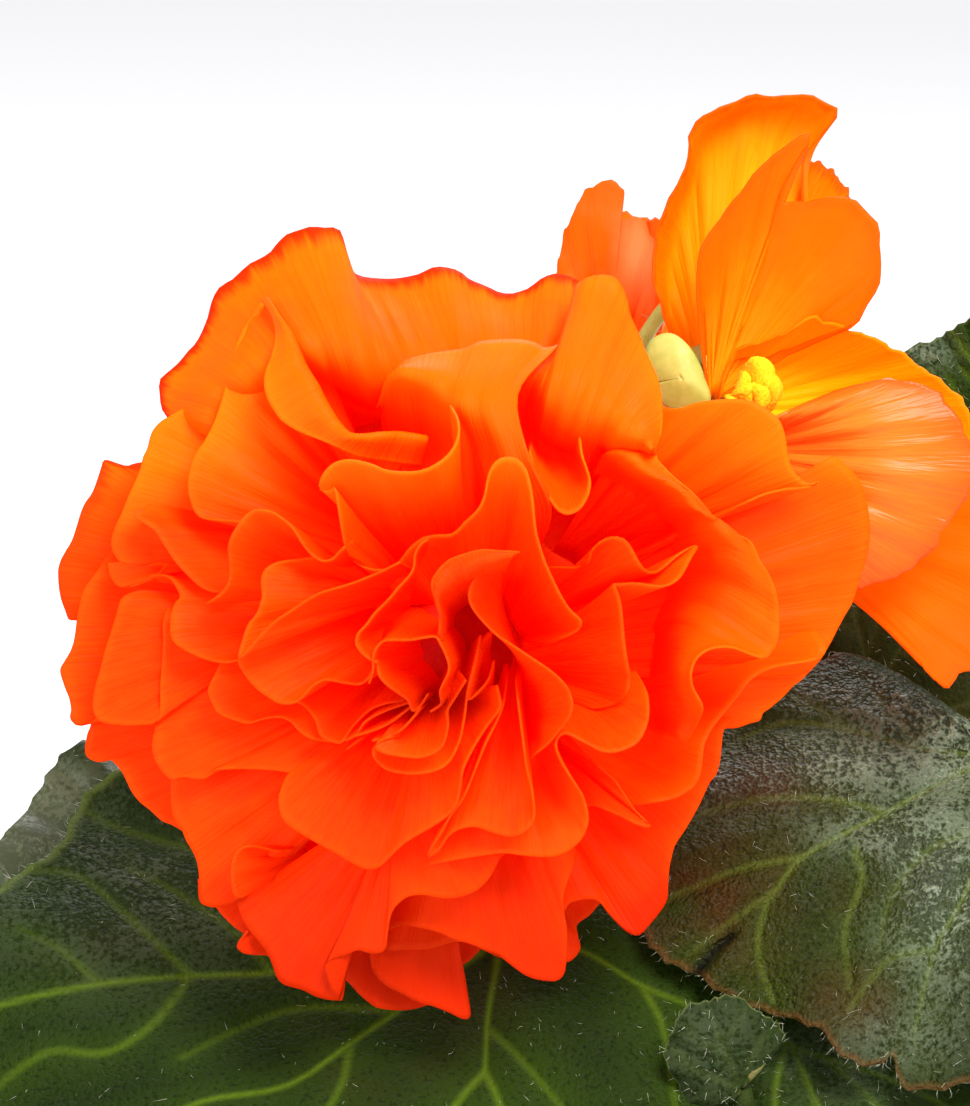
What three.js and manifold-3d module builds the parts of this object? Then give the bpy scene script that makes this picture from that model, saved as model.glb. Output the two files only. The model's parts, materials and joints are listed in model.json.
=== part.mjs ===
// Potted tuberous begonia: a double camellia-type bloom, a single female flower and a small
// back flower over obliquely heart-shaped leaves, growing from a tuber in a plain clay pot.
// Millimetres, +Z up, origin at the centre of the pot's underside, the bloom faces -Y.
import * as THREE from 'three';
import { mergeVertices } from 'three/addons/utils/BufferGeometryUtils.js';
import Module from 'manifold-3d';

const wasm = await Module();
wasm.setup();
const { Manifold, Mesh } = wasm;

// ---------------------------------------------------------------- driving dimensions (mm)
const GAP = 0.3;                    // clearance kept between touching pieces
const SOFT_GAP = 0.45;               // the same around petals and leaves, whose edges are then eased
const SOFT_TOLERANCE = 0.12;         // how far easing may move an edge of a petal or a leaf
const POT_HEIGHT = 108;
const POT_BASE_RADIUS = 45;
const POT_WAIST_RADIUS = 61;        // body radius just under the rim band
const POT_RIM_RADIUS = 66;
const POT_BAND_HEIGHT = 24;         // height of the rim band
const POT_FLOOR = 5;                // thickness of the floor
const DRAIN_RADIUS = 5;
const DRAIN_CIRCLE = 29;            // radius of the circle of drainage holes
const DRAIN_COUNT = 6;
const SOIL_TOP = 97;                // soil height in the middle
const TUBER_RADIUS = 23;
const TUBER_HALF_HEIGHT = 11;
const TUBER_CENTRE_Z = 89;
const STEM_TOP = [0, -4, 150];      // where the flower stalks leave the main stem
const GRID = 128;                    // grid lines per mm
const PETAL_THICKNESS = 0.9;
const LEAF_THICKNESS = 1.1;
const BLOOM_SPAN = 95;              // width of the double bloom
const BLOOM_UNITS = 808;            // the same width in units of the face grid below
const BLOOM_TILT = 16 * Math.PI / 180;   // the face looks up by this angle
const BLOOM_DEPTH = 1.25;           // stretch of the bloom from back to front
const FACE_CENTRE = [2, -38, 205];  // mm, the point of the face plane at grid point (485, 553)
const EYE_DISTANCE = 800;           // the face grid narrows towards a point this far in front

// The flower is laid out on a face grid: x to the right, y down, d mm towards the front.
const SCALE = BLOOM_SPAN / BLOOM_UNITS;
const UP = new THREE.Vector3(0, Math.sin(BLOOM_TILT), Math.cos(BLOOM_TILT));
const BACK = new THREE.Vector3(0, Math.cos(BLOOM_TILT), -Math.sin(BLOOM_TILT));
function face(x, y, d) {
  const s = SCALE * (EYE_DISTANCE - d) / EYE_DISTANCE;
  return new THREE.Vector3(...FACE_CENTRE)
    .add(new THREE.Vector3((x - 485) * s, 0, 0))
    .addScaledVector(UP, (553 - y) * s)
    .addScaledVector(BACK, -d);
}

const COLOUR = {
  petal: 0xf8500a, petalLight: 0xfb7a14, petalDeep: 0xe02a05, tepal: 0xfb8410, yellow: 0xf8c020,
  green: 0x7c8f35, ovary: 0xc9cc7a, stalk: 0x9a8a3c, leaf: 0x33401c, leafDark: 0x262e18,
  soil: 0x2b1d14, tuber: 0x5a3b24, clay: 0xb4623d,
};

// ---------------------------------------------------------------- solids
function solidOf(geometry) {
  const g = geometry.clone();
  g.deleteAttribute('normal');
  g.deleteAttribute('uv');
  const m = mergeVertices(g.index ? g.toNonIndexed() : g, 1e-3);
  return new Manifold(new Mesh({
    numProp: 3,
    vertProperties: new Float32Array(m.attributes.position.array),
    triVerts: new Uint32Array(wholeFaces(m.index.array).flat()),
  }));
}
// Faces without the collapsed ones and without pairs that lie back to back.
function wholeFaces(index) {
  const kept = new Map();
  for (let k = 0; k < index.length; k += 3) {
    const f = [index[k], index[k + 1], index[k + 2]];
    if (f[0] === f[1] || f[1] === f[2] || f[2] === f[0]) continue;
    const low = f.indexOf(Math.min(...f)), [a, b, c] = [f[low], f[(low + 1) % 3], f[(low + 2) % 3]];
    const opposite = a + ' ' + c + ' ' + b;
    if (kept.get(opposite)?.length) kept.get(opposite).pop();
    else kept.set(a + ' ' + b + ' ' + c, [...(kept.get(a + ' ' + b + ' ' + c) ?? []), [a, b, c]]);
  }
  return [...kept.values()].flat();
}
// Edges where a solid touches itself, so that more than two faces meet.
function pinches(solid) {
  const m = mergeVertices(geometryOf(solid).toNonIndexed().deleteAttribute('normal'), 1e-3);
  const p = m.attributes.position, count = new Map();
  for (const f of wholeFaces(m.index.array)) {
    for (let e = 0; e < 3; e++) {
      const a = f[e], b = f[(e + 1) % 3], key = Math.min(a, b) + ' ' + Math.max(a, b);
      count.set(key, (count.get(key) ?? 0) + 1);
    }
  }
  return [...count].filter(([, n]) => n !== 2).map(([key]) => key.split(' ')
    .map((i) => new THREE.Vector3().fromBufferAttribute(p, Number(i))));
}
function geometryOf(solid) {
  const mesh = solid.getMesh();
  const g = new THREE.BufferGeometry();
  // corners sit on a fine grid, so that near-coincident ones become one
  g.setAttribute('position', new THREE.BufferAttribute(Float32Array.from(mesh.vertProperties, (v) => Math.round(v * GRID) / GRID), 3));
  g.setIndex(new THREE.BufferAttribute(new Uint32Array(mesh.triVerts), 1));
  g.computeVertexNormals();
  return g;
}
function joined(list) {
  return list.length === 1 ? list[0] : Manifold.union(list);
}
function lathe(profile, segments = 32) {
  const g = new THREE.LatheGeometry(profile.map(([r, z]) => new THREE.Vector2(r, z)), segments);
  g.rotateX(Math.PI / 2);
  return solidOf(g);
}
function closedMesh(points, triangles) {
  let volume = 0;
  for (const [a, b, c] of triangles) volume += points[a].dot(new THREE.Vector3().crossVectors(points[b], points[c]));
  const faces = volume >= 0 ? triangles : triangles.map(([a, b, c]) => [a, c, b]);
  return new Manifold(new Mesh({
    numProp: 3,
    vertProperties: new Float32Array(points.flatMap((p) => [p.x, p.y, p.z])),
    triVerts: new Uint32Array(faces.flat()),
  }));
}

// A thin sheet over a grid of points, half the thickness to each side along one direction;
// grow widens it all round. With round set, the grid is rings about its first row's middle.
function sheet(grid, thickness, grow = 0, direction = BACK, round = false) {
  const rows = grid.length, cols = grid[0].length;
  const flat = (v) => v.clone().addScaledVector(direction, -v.dot(direction)).normalize();
  const moved = grid.map((row, j) => row.map((p, i) => {
    if (!grow || (round && j === 0)) return p.clone();
    const out = new THREE.Vector3();
    if (!round && j === 0) out.add(flat(new THREE.Vector3().subVectors(p, grid[1][i])));
    if (j === rows - 1) out.add(flat(new THREE.Vector3().subVectors(p, grid[j - 1][i])));
    if (!round && i === 0) out.add(flat(new THREE.Vector3().subVectors(p, row[1])));
    if (!round && i === cols - 1) out.add(flat(new THREE.Vector3().subVectors(p, row[i - 1])));
    return p.clone().addScaledVector(out, grow);
  }));
  const half = thickness / 2 + grow;
  const pts = [];
  for (const sign of [1, -1]) for (const row of moved) for (const p of row) pts.push(p.clone().addScaledVector(direction, sign * half));
  const id = (k, j, i) => k * rows * cols + j * cols + (round ? (j === 0 ? 0 : i % cols) : i);
  const tri = [];
  const quad = (a, b, c, d) => { tri.push([a, b, c], [a, c, d]); };
  const last = round ? cols : cols - 1;
  for (let j = 0; j + 1 < rows; j++) {
    for (let i = 0; i < last; i++) {
      quad(id(0, j, i), id(0, j, i + 1), id(0, j + 1, i + 1), id(0, j + 1, i));
      quad(id(1, j, i), id(1, j + 1, i), id(1, j + 1, i + 1), id(1, j, i + 1));
    }
    if (!round) {
      quad(id(0, j, 0), id(0, j + 1, 0), id(1, j + 1, 0), id(1, j, 0));
      quad(id(0, j + 1, last), id(0, j, last), id(1, j, last), id(1, j + 1, last));
    }
  }
  for (let i = 0; i < last; i++) {
    quad(id(0, rows - 1, i), id(0, rows - 1, i + 1), id(1, rows - 1, i + 1), id(1, rows - 1, i));
    if (!round) quad(id(0, 0, i + 1), id(0, 0, i), id(1, 0, i), id(1, 0, i + 1));
  }
  if (round) {
    const whole = tri.filter(([a, b, c]) => a !== b && b !== c && c !== a);
    return closedMesh(pts, whole);
  }
  return closedMesh(pts, tri);
}

// A round stalk through points, its radius running from r0 to r1.
function stalk(points, r0, r1, steps = 10, sides = 7) {
  const curve = new THREE.CatmullRomCurve3(points.map((p) => (p.isVector3 ? p : new THREE.Vector3(...p))));
  const frames = curve.computeFrenetFrames(steps, false);
  const pts = [], tri = [];
  for (let k = 0; k <= steps; k++) {
    const c = curve.getPointAt(k / steps), r = r0 + (r1 - r0) * k / steps;
    for (let i = 0; i < sides; i++) {
      const a = i / sides * Math.PI * 2;
      pts.push(c.clone().addScaledVector(frames.normals[k], Math.cos(a) * r).addScaledVector(frames.binormals[k], Math.sin(a) * r));
    }
  }
  for (let k = 0; k < steps; k++) {
    for (let i = 0; i < sides; i++) {
      const a = k * sides + i, b = k * sides + (i + 1) % sides;
      tri.push([a, b, b + sides], [a, b + sides, a + sides]);
    }
  }
  for (let i = 1; i + 1 < sides; i++) {
    tri.push([0, i + 1, i]);
    tri.push([steps * sides, steps * sides + i, steps * sides + i + 1]);
  }
  return closedMesh(pts, tri);
}

// ---------------------------------------------------------------- curves on the face grid
function withDepth(points, fallback) {
  const run = [0];
  for (let k = 1; k < points.length; k++) run.push(run[k - 1] + Math.hypot(points[k][0] - points[k - 1][0], points[k][1] - points[k - 1][1]));
  const known = points.map((p, k) => k).filter((k) => points[k].length > 2);
  return points.map((p, k) => {
    if (!known.length) return [p[0], p[1], fallback];
    const before = known.filter((m) => m <= k).pop(), after = known.find((m) => m >= k);
    if (before === undefined) return [p[0], p[1], points[after][2]];
    if (after === undefined || before === after) return [p[0], p[1], points[before][2]];
    const t = (run[k] - run[before]) / Math.max(run[after] - run[before], 1e-9);
    return [p[0], p[1], points[before][2] * (1 - t) + points[after][2] * t];
  });
}
function resample(points, count) {
  const run = [0];
  for (let k = 1; k < points.length; k++) run.push(run[k - 1] + Math.hypot(points[k][0] - points[k - 1][0], points[k][1] - points[k - 1][1]));
  const total = run[run.length - 1];
  const out = [];
  for (let n = 0; n < count; n++) {
    const s = total * n / (count - 1);
    let k = 0;
    while (k < points.length - 2 && run[k + 1] < s) k++;
    const t = Math.min(1, Math.max(0, (s - run[k]) / Math.max(run[k + 1] - run[k], 1e-9)));
    out.push([0, 1, 2].map((c) => points[k][c] * (1 - t) + points[k + 1][c] * t));
  }
  return out;
}
// Rows of points from a petal's root to its rim, as [x, y, d].
function petalGrid({ root, rows, depth = 8, bulge = 5, rootWidth = 24, at }, across, along) {
  const curves = rows.map((row) => resample(withDepth(row, depth), across + 1));
  const rim = curves[curves.length - 1];
  let base;
  if (Array.isArray(root[0])) base = resample(withDepth(root, root[0][2]), across + 1);
  else {
    const mean = rim.reduce((m, p) => [m[0] + p[0] / rim.length, m[1] + p[1] / rim.length], [0, 0]);
    const l = Math.hypot(mean[0] - root[0], mean[1] - root[1]) || 1;
    const dir = [(mean[0] - root[0]) / l, (mean[1] - root[1]) / l];
    let side = [-dir[1], dir[0]];
    if (side[0] * (rim[0][0] - rim[across][0]) + side[1] * (rim[0][1] - rim[across][1]) < 0) side = [-side[0], -side[1]];
    base = rim.map((_, i) => {
      const t = 0.5 - i / across;
      return [root[0] + side[0] * t * rootWidth - dir[0] * 4 * t * t * rootWidth * 0.3,
        root[1] + side[1] * t * rootWidth - dir[1] * 4 * t * t * rootWidth * 0.3, root[2]];
    });
  }
  let control, stations;
  if (curves.length === 1) {
    const mid = base.map((p, i) => [(p[0] + rim[i][0]) / 2, (p[1] + rim[i][1]) / 2, (p[2] + rim[i][2]) / 2 + bulge]);
    control = [base, mid, rim];
    stations = [0, 0.5, 1];
  } else {
    control = [base, ...curves];
    stations = at ?? control.map((_, k) => k / (control.length - 1));
  }
  const slope = control.map((row, k) => row.map((p, i) => p.map((_, c) => {
    const lo = Math.max(k - 1, 0), hi = Math.min(k + 1, control.length - 1);
    if (lo === k || hi === k) return (control[hi][i][c] - control[lo][i][c]) / (stations[hi] - stations[lo]);
    return 0.5 * ((p[c] - control[lo][i][c]) / (stations[k] - stations[lo]) + (control[hi][i][c] - p[c]) / (stations[hi] - stations[k]));
  })));
  const grid = [];
  for (let j = 0; j <= along; j++) {
    const v = j / along;
    let k = 0;
    while (k < stations.length - 2 && stations[k + 1] <= v) k++;
    const h = stations[k + 1] - stations[k], t = (v - stations[k]) / h;
    const w = [2 * t ** 3 - 3 * t ** 2 + 1, (t ** 3 - 2 * t ** 2 + t) * h, -2 * t ** 3 + 3 * t ** 2, (t ** 3 - t ** 2) * h];
    grid.push(base.map((_, i) => [0, 1, 2].map((c) => w[0] * control[k][i][c] + w[1] * slope[k][i][c] + w[2] * control[k + 1][i][c] + w[3] * slope[k + 1][i][c])));
  }
  return grid;
}
// Turns the rim back a little where the grid would fold over itself seen from the front.
function unfolded(petal, across, along) {
  const turned = (grid) => {
    let plus = 0, minus = 0;
    for (let j = 0; j + 1 < grid.length; j++) {
      for (let i = 0; i + 1 < grid[0].length; i++) {
        const [a, b, c, d] = [grid[j][i], grid[j][i + 1], grid[j + 1][i + 1], grid[j + 1][i]];
        for (const [p, q, r] of [[a, b, c], [a, c, d]]) {
          const area = (q[0] - p[0]) * (r[1] - p[1]) - (q[1] - p[1]) * (r[0] - p[0]);
          if (area > 8) plus++;
          else if (area < -8) minus++;
          else { plus++; minus++; }
        }
      }
    }
    return Math.min(plus, minus);
  };
  let grid = petalGrid(petal, across, along);
  for (let n = 0; n < 60 && turned(grid); n++) {
    grid = grid.map((row, j) => row.map((p, i) => {
      const e = [];
      if (i > 0) e.push(row[i - 1]);
      if (i + 1 < row.length) e.push(row[i + 1]);
      if (j > 0) e.push(grid[j - 1][i]);
      if (j + 1 < grid.length) e.push(grid[j + 1][i]);
      if (e.length < 4 && !(j === grid.length - 1 && i > 0 && i + 1 < row.length)) return p;
      const near = j === grid.length - 1 ? [row[i - 1], row[i + 1]] : e;
      return p.map((v, c) => 0.6 * v + 0.4 * near.reduce((m, q) => m + q[c], 0) / near.length);
    }));
  }
  return turned(grid) ? null : grid;
}
const onFace = (grid, stretch = 1) => grid.map((row) => row.map(([x, y, d]) => face(x, y, d * stretch)));

// ---------------------------------------------------------------- the object and its placing
const begonia = new THREE.Group();
begonia.name = 'potted_tuberous_begonia';
const placed = [];
const meets = (a, b) => a.max[0] > b.min[0] && a.min[0] < b.max[0] && a.max[1] > b.min[1] && a.min[1] < b.max[1] && a.max[2] > b.min[2] && a.min[2] < b.max[2];
// The largest body of a solid, its edges eased; several strengths are tried until nothing
// touches itself along an edge or hangs on by a corner.
function oneBody(solid, tolerance) {
  const largest = (s) => s.decompose().sort((a, b) => b.volume() - a.volume())[0];
  let best = null;
  for (const strength of [1, 0.6, 1.4, 0.3, 0.8, 0.15, 1.8, 0.05, 0.45, 2.2, 0.01]) {
    let s = largest(largest(solid).simplify(tolerance * strength));
    for (let k = 0; k < 3; k++) {
      s = largest(solidOf(geometryOf(s)));
      if (!pinches(s).length && solidOf(geometryOf(s)).decompose().length === 1) return s;
    }
    best ??= s;
  }
  return best;
}
// Puts a piece in place, trimmed back from the clearance envelope of every piece already there.
function place(name, solid, envelope, colour, roughness = 0.6, tolerance = 0.02) {
  const box = solid.boundingBox();
  for (const other of placed) {
    if (meets(box, other.box)) solid = solid.subtract(other.envelope);
  }
  let kept = oneBody(solid, tolerance);
  for (let k = 0; k < 4; k++) {
    const clashing = placed.filter((other) => meets(box, other.box) && kept.intersect(other.solid).volume() > 0.0005);
    if (!clashing.length) break;
    // a fold that its envelope misses: the neighbour itself, moved by the gap each way, is cut away
    for (const other of clashing) {
      for (const [x, y, z] of [[0, 0, 0], [1, 0, 0], [-1, 0, 0], [0, 1, 0], [0, -1, 0], [0, 0, 1], [0, 0, -1]]) {
        solid = solid.subtract(other.solid.translate([x * GAP, y * GAP, z * GAP]));
      }
    }
    tolerance /= 2;
    kept = oneBody(solid, tolerance);
  }
  placed.push({ name, envelope, box: envelope.boundingBox(), solid: kept });
  const mesh = new THREE.Mesh(geometryOf(kept), new THREE.MeshStandardMaterial({ color: colour, roughness, metalness: 0 }));
  mesh.name = name;
  begonia.add(mesh);
  return kept;
}

// ---------------------------------------------------------------- petals of the double bloom, back to front
// root: the petal's root on the face grid; rows: curves across the petal, the last one its rim.
const PETALS = [
  { name: 'petal_top_guard', root: [[330,560,-1],[400,545,-1],[470,545,-1],[520,570,-1]], rows: [[[235,470,3],[270,430,2],[316,392,0],[345,402,0],[376,414,0],[440,408,2],[520,402,3],[560,390,3]],
      [[222,450,7],[255,405,9],[314,378,10],[345,388,10.5],[378,401,10.5],[440,393,9],[520,385,8],[566,372,7]],
      [[185,432,3],[168,417,5],[162,408],[160,392],[160,380],[170,371],[180,362],[188,352],[195,345],[200,337],[205,326],[209,315],[211,305],[217,291],[223,285],[231,281],[243,270],[250,264],[260,259],[270,253],[278,243],[288,234],[298,231],[310,227],[325,228],[337,228,7],[341,234,7],[345,250],[349,266,5],[353,273,4],[362,277],[380,279],[395,279],[408,277],[420,274],[432,268],[440,267],[452,269],[460,272],[468,279],[487,287],[500,293],[512,294],[520,292],[530,288],[540,280],[550,275],[558,274],[575,279,4],[588,292,3]]], depth: 5, at: [0,0.42,0.5,1], ruffle: 3 },
  { name: 'petal_top_tongue', root: [[490,590,1],[520,585,1],[560,590,1]], rows: [[[505,430,4],[520,430,4],[540,450,4],[560,461,4],[580,464,4],[600,464,4],[612,470,4],[640,474,5],[652,474,6]],
      [[515,395,11],[530,400,13],[540,420,14],[560,438,15],[580,441,15],[600,441,15],[612,450,15],[640,454,15],[652,456,15]],
      [[545,370,9],[550,352,8],[555,345,8],[562,335],[568,325],[571,312],[573,300],[575,288,9],[582,281],[590,277,10],[603,275],[615,278],[622,287],[627,300,10],[630,315],[640,337,10],[645,350],[652,365],[658,380,12],[662,405,13],[662,425,14],[660,440,15],[655,450,16],[656,457,16]]], depth: 10, at: [0,0.36,0.46,1] },
  { name: 'petal_upper_right', root: [575,560,2], rows: [[[645,405,8],[655,402,9],[662,405,10],[668,408],[680,408,11],[700,402],[735,399,11],[750,401],[760,405],[770,412],[778,418],[783,428,11],[786,440],[788,455],[792,468],[800,478],[810,484],[820,481,10],[812,486,10],[785,489,11],[765,494],[745,503,12],[725,514,11],[708,526,9]]], depth: 11, bulge: 2, rootWidth: 40 },
  { name: 'petal_right_guard', root: [520,640,0], rows: [[[760,470,4],[780,474,5],[800,478,6],[812,478],[820,470],[828,460],[835,456,7],[842,462],[855,474],[862,485],[866,497,6],[870,525],[869,545],[866,560],[858,585],[852,603,5],[845,615],[838,628],[832,640],[825,652],[820,660,5],[805,672,4],[780,680,3]]], depth: 6, bulge: 4, rootWidth: 60 },
  { name: 'petal_right_long', root: [[560,560,1],[565,610,1],[550,660,1],[560,700,2]], rows: [[[588,478,3],[625,500,3],[645,516,3],[655,530,3],[658,548,3],[655,572,3],[652,600,3],[650,640,4],[652,680,5],[656,730,6]],
      [[600,457,13],[632,478,14],[660,490,15],[672,503,15],[688,517,15],[695,532,15],[699,548,14],[690,585,12],[676,615,12],[668,650,13],[668,690,13],[670,735,11]],
      [[640,455,14],[655,452,16],[658,460,17],[665,468],[675,478],[695,495,18],[708,510],[716,520],[725,530],[735,535,18],[748,540],[755,548],[760,560],[768,573,17],[773,583],[777,597],[779,615,16],[778,640],[772,652,16],[765,658,17],[755,656],[735,648,19],[722,647],[710,649],[700,655,20],[694,663],[691,675,20],[693,688],[703,708,18],[698,722,15],[685,745,12]]], depth: 16, at: [0,0.4,0.52,1] },
  { name: 'petal_lower_right_outer', root: [520,690,-1], rows: [[[818,640,3],[823,652,4],[820,660],[808,673],[800,681],[793,686],[785,695],[770,708],[763,713],[760,720],[750,723],[738,727],[724,729],[705,745,3]]], depth: 4, bulge: 3, rootWidth: 50 },
  { name: 'petal_lower_right_inner', root: [520,690,1], rows: [[[815,630,6],[826,648,8],[820,658,8],[790,664,9],[775,667],[760,673,9],[748,682],[740,693],[730,705],[722,715,10],[712,728],[704,745,11],[702,760],[700,775,11],[695,785],[685,793],[675,798,11],[650,803,11],[635,805,10],[612,800,8]]], depth: 10, bulge: -2, rootWidth: 50 },
  { name: 'petal_bottom_right', root: [500,700,-2], rows: [[[735,715,3],[724,729,5],[722,740],[720,760],[716,775],[711,780],[706,790],[700,803],[692,818],[685,830],[675,845],[672,855],[669,870],[668,885],[667,900],[660,912],[652,922],[645,930],[640,935],[633,935],[625,930],[617,922],[608,912],[602,904],[595,900],[588,899],[578,901],[570,903],[563,912,5],[552,905,4]]], depth: 6, bulge: 1, rootWidth: 50 },
  { name: 'petal_bottom_lobe', root: [430,760,0], rows: [[[374,945,4],[370,955,5],[371,966],[376,976],[385,985],[400,993],[420,1003],[432,1006,5],[450,1013],[460,1018],[468,1019,5],[470,1013],[464,1005],[456,1000],[450,990,4],[449,975],[448,955],[450,938,4]]], depth: 5, bulge: 2, rootWidth: 30 },
  { name: 'petal_bottom_left', root: [[350,720,1],[400,715,2],[450,720,3],[480,740,4]], rows: [[[512,848,14],[500,858,15],[496,866],[490,877],[480,888],[470,894,14.5],[455,898],[440,898],[425,895],[410,896,14],[400,902],[392,912,13.5],[388,925],[386,940],[384,951,12.5],[372,954,12],[358,950],[347,955,11],[335,958],[325,965,10.5],[328,980],[333,992,10],[340,1000,9.5],[325,999,9],[315,996],[303,990],[283,984,8],[277,977],[271,960,7.5],[262,945,7],[246,925,6],[236,900,5]]], depth: 10, bulge: 5, ruffle: 3 },
  { name: 'petal_bottom', root: [480,740,2], rows: [[[575,845,8],[573,865,10],[566,885,11],[563,902],[567,935,12],[566,965],[563,976],[556,981,12],[548,981],[535,979],[525,975],[515,968],[505,960],[497,954],[487,951,10.5],[478,947],[467,943,10.5],[455,940],[445,935],[430,930],[410,926,10],[397,926,9],[384,932,7]]], depth: 11, bulge: 4, rootWidth: 50 },
  { name: 'petal_left_low_outer', root: [390,680,-2], rows: [[[100,690,2],[90,708,3],[91,724,4],[87,735],[86,755],[98,762,4],[110,760],[122,772],[127,782],[132,792],[140,802,4],[150,810],[162,821],[172,825],[188,836,4],[200,860,2]]], depth: 4, bulge: 3, rootWidth: 60 },
  { name: 'petal_left_low', root: [410,700,1], rows: [[[180,765,6],[172,778,7],[171,800],[174,818],[182,830,7],[186,840],[192,850],[197,862],[199,875],[200,890],[202,903,6],[207,906],[216,907],[230,904,6],[242,897,6],[258,890,5]]], depth: 6, bulge: 4, rootWidth: 50 },
  { name: 'petal_far_left', root: [330,600,-3], rows: [[[170,455,1],[150,461,2],[133,464],[127,466],[115,463],[104,460],[101,468],[97,480],[92,493],[85,503],[81,512],[77,525],[72,540],[65,552],[60,562],[58,572],[60,595],[66,613],[69,620],[78,621],[100,640,1]]], depth: 2, bulge: 1, rootWidth: 40 },
  { name: 'petal_left_upper', root: [390,560,0], rows: [[[245,370,5],[225,391,7],[205,399],[195,402],[180,410],[168,417],[160,422],[153,430],[150,437],[147,449],[143,457],[140,470],[128,497],[122,512],[114,530],[111,543],[113,552],[120,562],[138,567],[163,562,8],[185,570,7]]], depth: 7, bulge: 3, rootWidth: 50 },
  { name: 'petal_left_mid', root: [390,640,-2], rows: [[[125,540,3],[112,550,4],[98,570,5],[84,590],[78,612],[74,640],[70,652],[64,662],[60,670],[65,688],[69,698],[71,710],[70,718],[76,725],[88,723],[98,715,5],[110,690,4]]], depth: 5, bulge: 2, rootWidth: 50 },
  { name: 'petal_left_fold', root: [370,560,5], rows: [[[150,505,9],[133,515,11],[145,523],[155,531],[165,546,12],[175,561],[185,572],[195,582],[205,589,13],[222,593,13],[240,590,12]]], depth: 12, bulge: -1, rootWidth: 30 },
  { name: 'petal_left_inner_upper', root: [[380,500,4],[370,540,4],[365,575,5]], rows: [[[300,300,6],[280,298,8],[262,302,10],[250,318,10],[240,335],[232,360],[226,385,11],[215,420],[205,440],[195,455],[190,470],[188,482,12],[189,496],[197,515,12],[212,519],[240,521,13],[275,525,12]]], depth: 11, bulge: 3 },
  { name: 'petal_flap', root: [[380,560,5],[420,540,5],[450,540,6]], rows: [[[262,320,6],[290,380,6],[330,440,7],[360,462,8],[400,470,9]],
      [[268,301,11],[280,322,13],[290,333],[300,352],[310,370,15],[318,383],[330,407],[340,424,17],[352,435,18],[380,434,18],[400,434,17.5],[425,438,16.5]],
      [[261,300,11],[270,313,13],[276,330],[272,355,14],[266,370],[264,385,15],[268,400],[275,412],[283,422,16],[300,432],[320,440,17],[340,448,18],[355,455,18],[372,459,17.5],[395,463,16.5],[420,466,15]]], depth: 14, at: [0,0.5,0.66,1] },
  { name: 'petal_round', root: [[430,565,7],[460,575,8],[495,575,9],[520,565,11],[540,545,13]], rows: [[[395,480,7],[415,490,7],[440,500,8],[462,508,12],[482,512,16],[505,512,19],[528,508,21],[551,502,21.5]],
      [[384,430,6],[398,445,6],[425,450,7],[443,452,9],[468,448,16],[492,450,20],[512,453,21.5],[531,460,21.5]],
      [[381,406,12],[392,384,16],[410,383,17],[435,393,18],[455,402,19],[480,402,20],[503,401,20],[517,399,19]],
      [[377,408,11],[381,396,12],[385,385,13],[393,374],[400,365,14],[407,360],[430,354,14],[463,349],[480,342,14],[500,340],[520,340,14],[535,343],[545,348],[559,345,13]]], depth: 14, at: [0,0.28,0.46,0.68,1] },
  { name: 'petal_s_curve', root: [[400,590,9],[430,590,9],[470,575,10]], rows: [[[350,556,22],[345,545,23],[342,530,23.5],[340,518],[337,500,24],[334,487,24],[328,491,23],[319,487,23],[321,478,24],[328,468,24.5],[337,462,25],[350,460,25.5],[370,464,26],[385,470,26],[400,472,26],[420,471,26],[435,465,26],[448,455,25.5],[456,443,25],[459,430,24],[457,417,22.5],[450,405,20]]], depth: 25, bulge: 2, ruffle: 3 },
  { name: 'petal_wave_left', root: [[350,590,9],[375,590,10],[400,580,11]], rows: [[[205,604,14],[214,599,16],[222,592],[227,585,17],[230,575],[229,558,18],[228,548],[231,537,19],[238,525],[246,515,20],[255,510],[263,510,21],[272,512],[280,517,22],[288,523],[296,533,22],[302,543],[309,552,22],[316,558],[323,561,22],[332,559],[338,553,22.5],[344,547,23],[352,540,22]]], depth: 20, bulge: 0, ruffle: 3 },
  { name: 'petal_oval_left', root: [[410,590,7],[430,620,7],[440,650,8]], rows: [[[262,625,15],[245,642,16],[238,661,17],[243,672],[250,682],[258,690,17.5],[268,697],[278,703,18],[288,704],[296,702,18.5],[302,697],[308,690],[315,684,19.5],[325,680],[345,683,20.5],[360,684,21.5],[368,678],[373,668,22.5],[377,655,23]]], depth: 18, bulge: 3 },
  { name: 'petal_left_lower_inner', root: [410,670,4], rows: [[[175,635,6],[165,650,7],[161,680,8],[158,715,9],[152,745,9.5],[155,760],[163,773,10],[172,780],[182,777],[195,779,10.5],[205,778],[213,771,11],[240,769],[270,770,12],[300,773],[320,768,13],[335,758],[347,749,14],[362,738,15]]], depth: 10, bulge: 3, rootWidth: 40 },
  { name: 'petal_tongue_center', root: [[460,640,10],[490,640,10],[515,640,10]], rows: [[[345,553,19],[360,565,20],[370,569],[380,570,21],[390,568],[398,563,22],[408,550],[415,543,23],[425,537],[440,535,24],[450,535],[458,530,24],[465,522],[475,513,24],[482,503],[486,490,24],[488,478],[492,467,24],[498,460],[505,457,23.5],[515,458],[522,463,23.5],[527,472],[532,495,24.5],[534,515],[536,532,25],[540,547],[545,562,25.5],[553,580],[561,596,25.5],[570,610],[582,622,25],[577,631],[560,639,23],[545,645,21]]], depth: 24, bulge: 1, ruffle: 3 },
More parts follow.
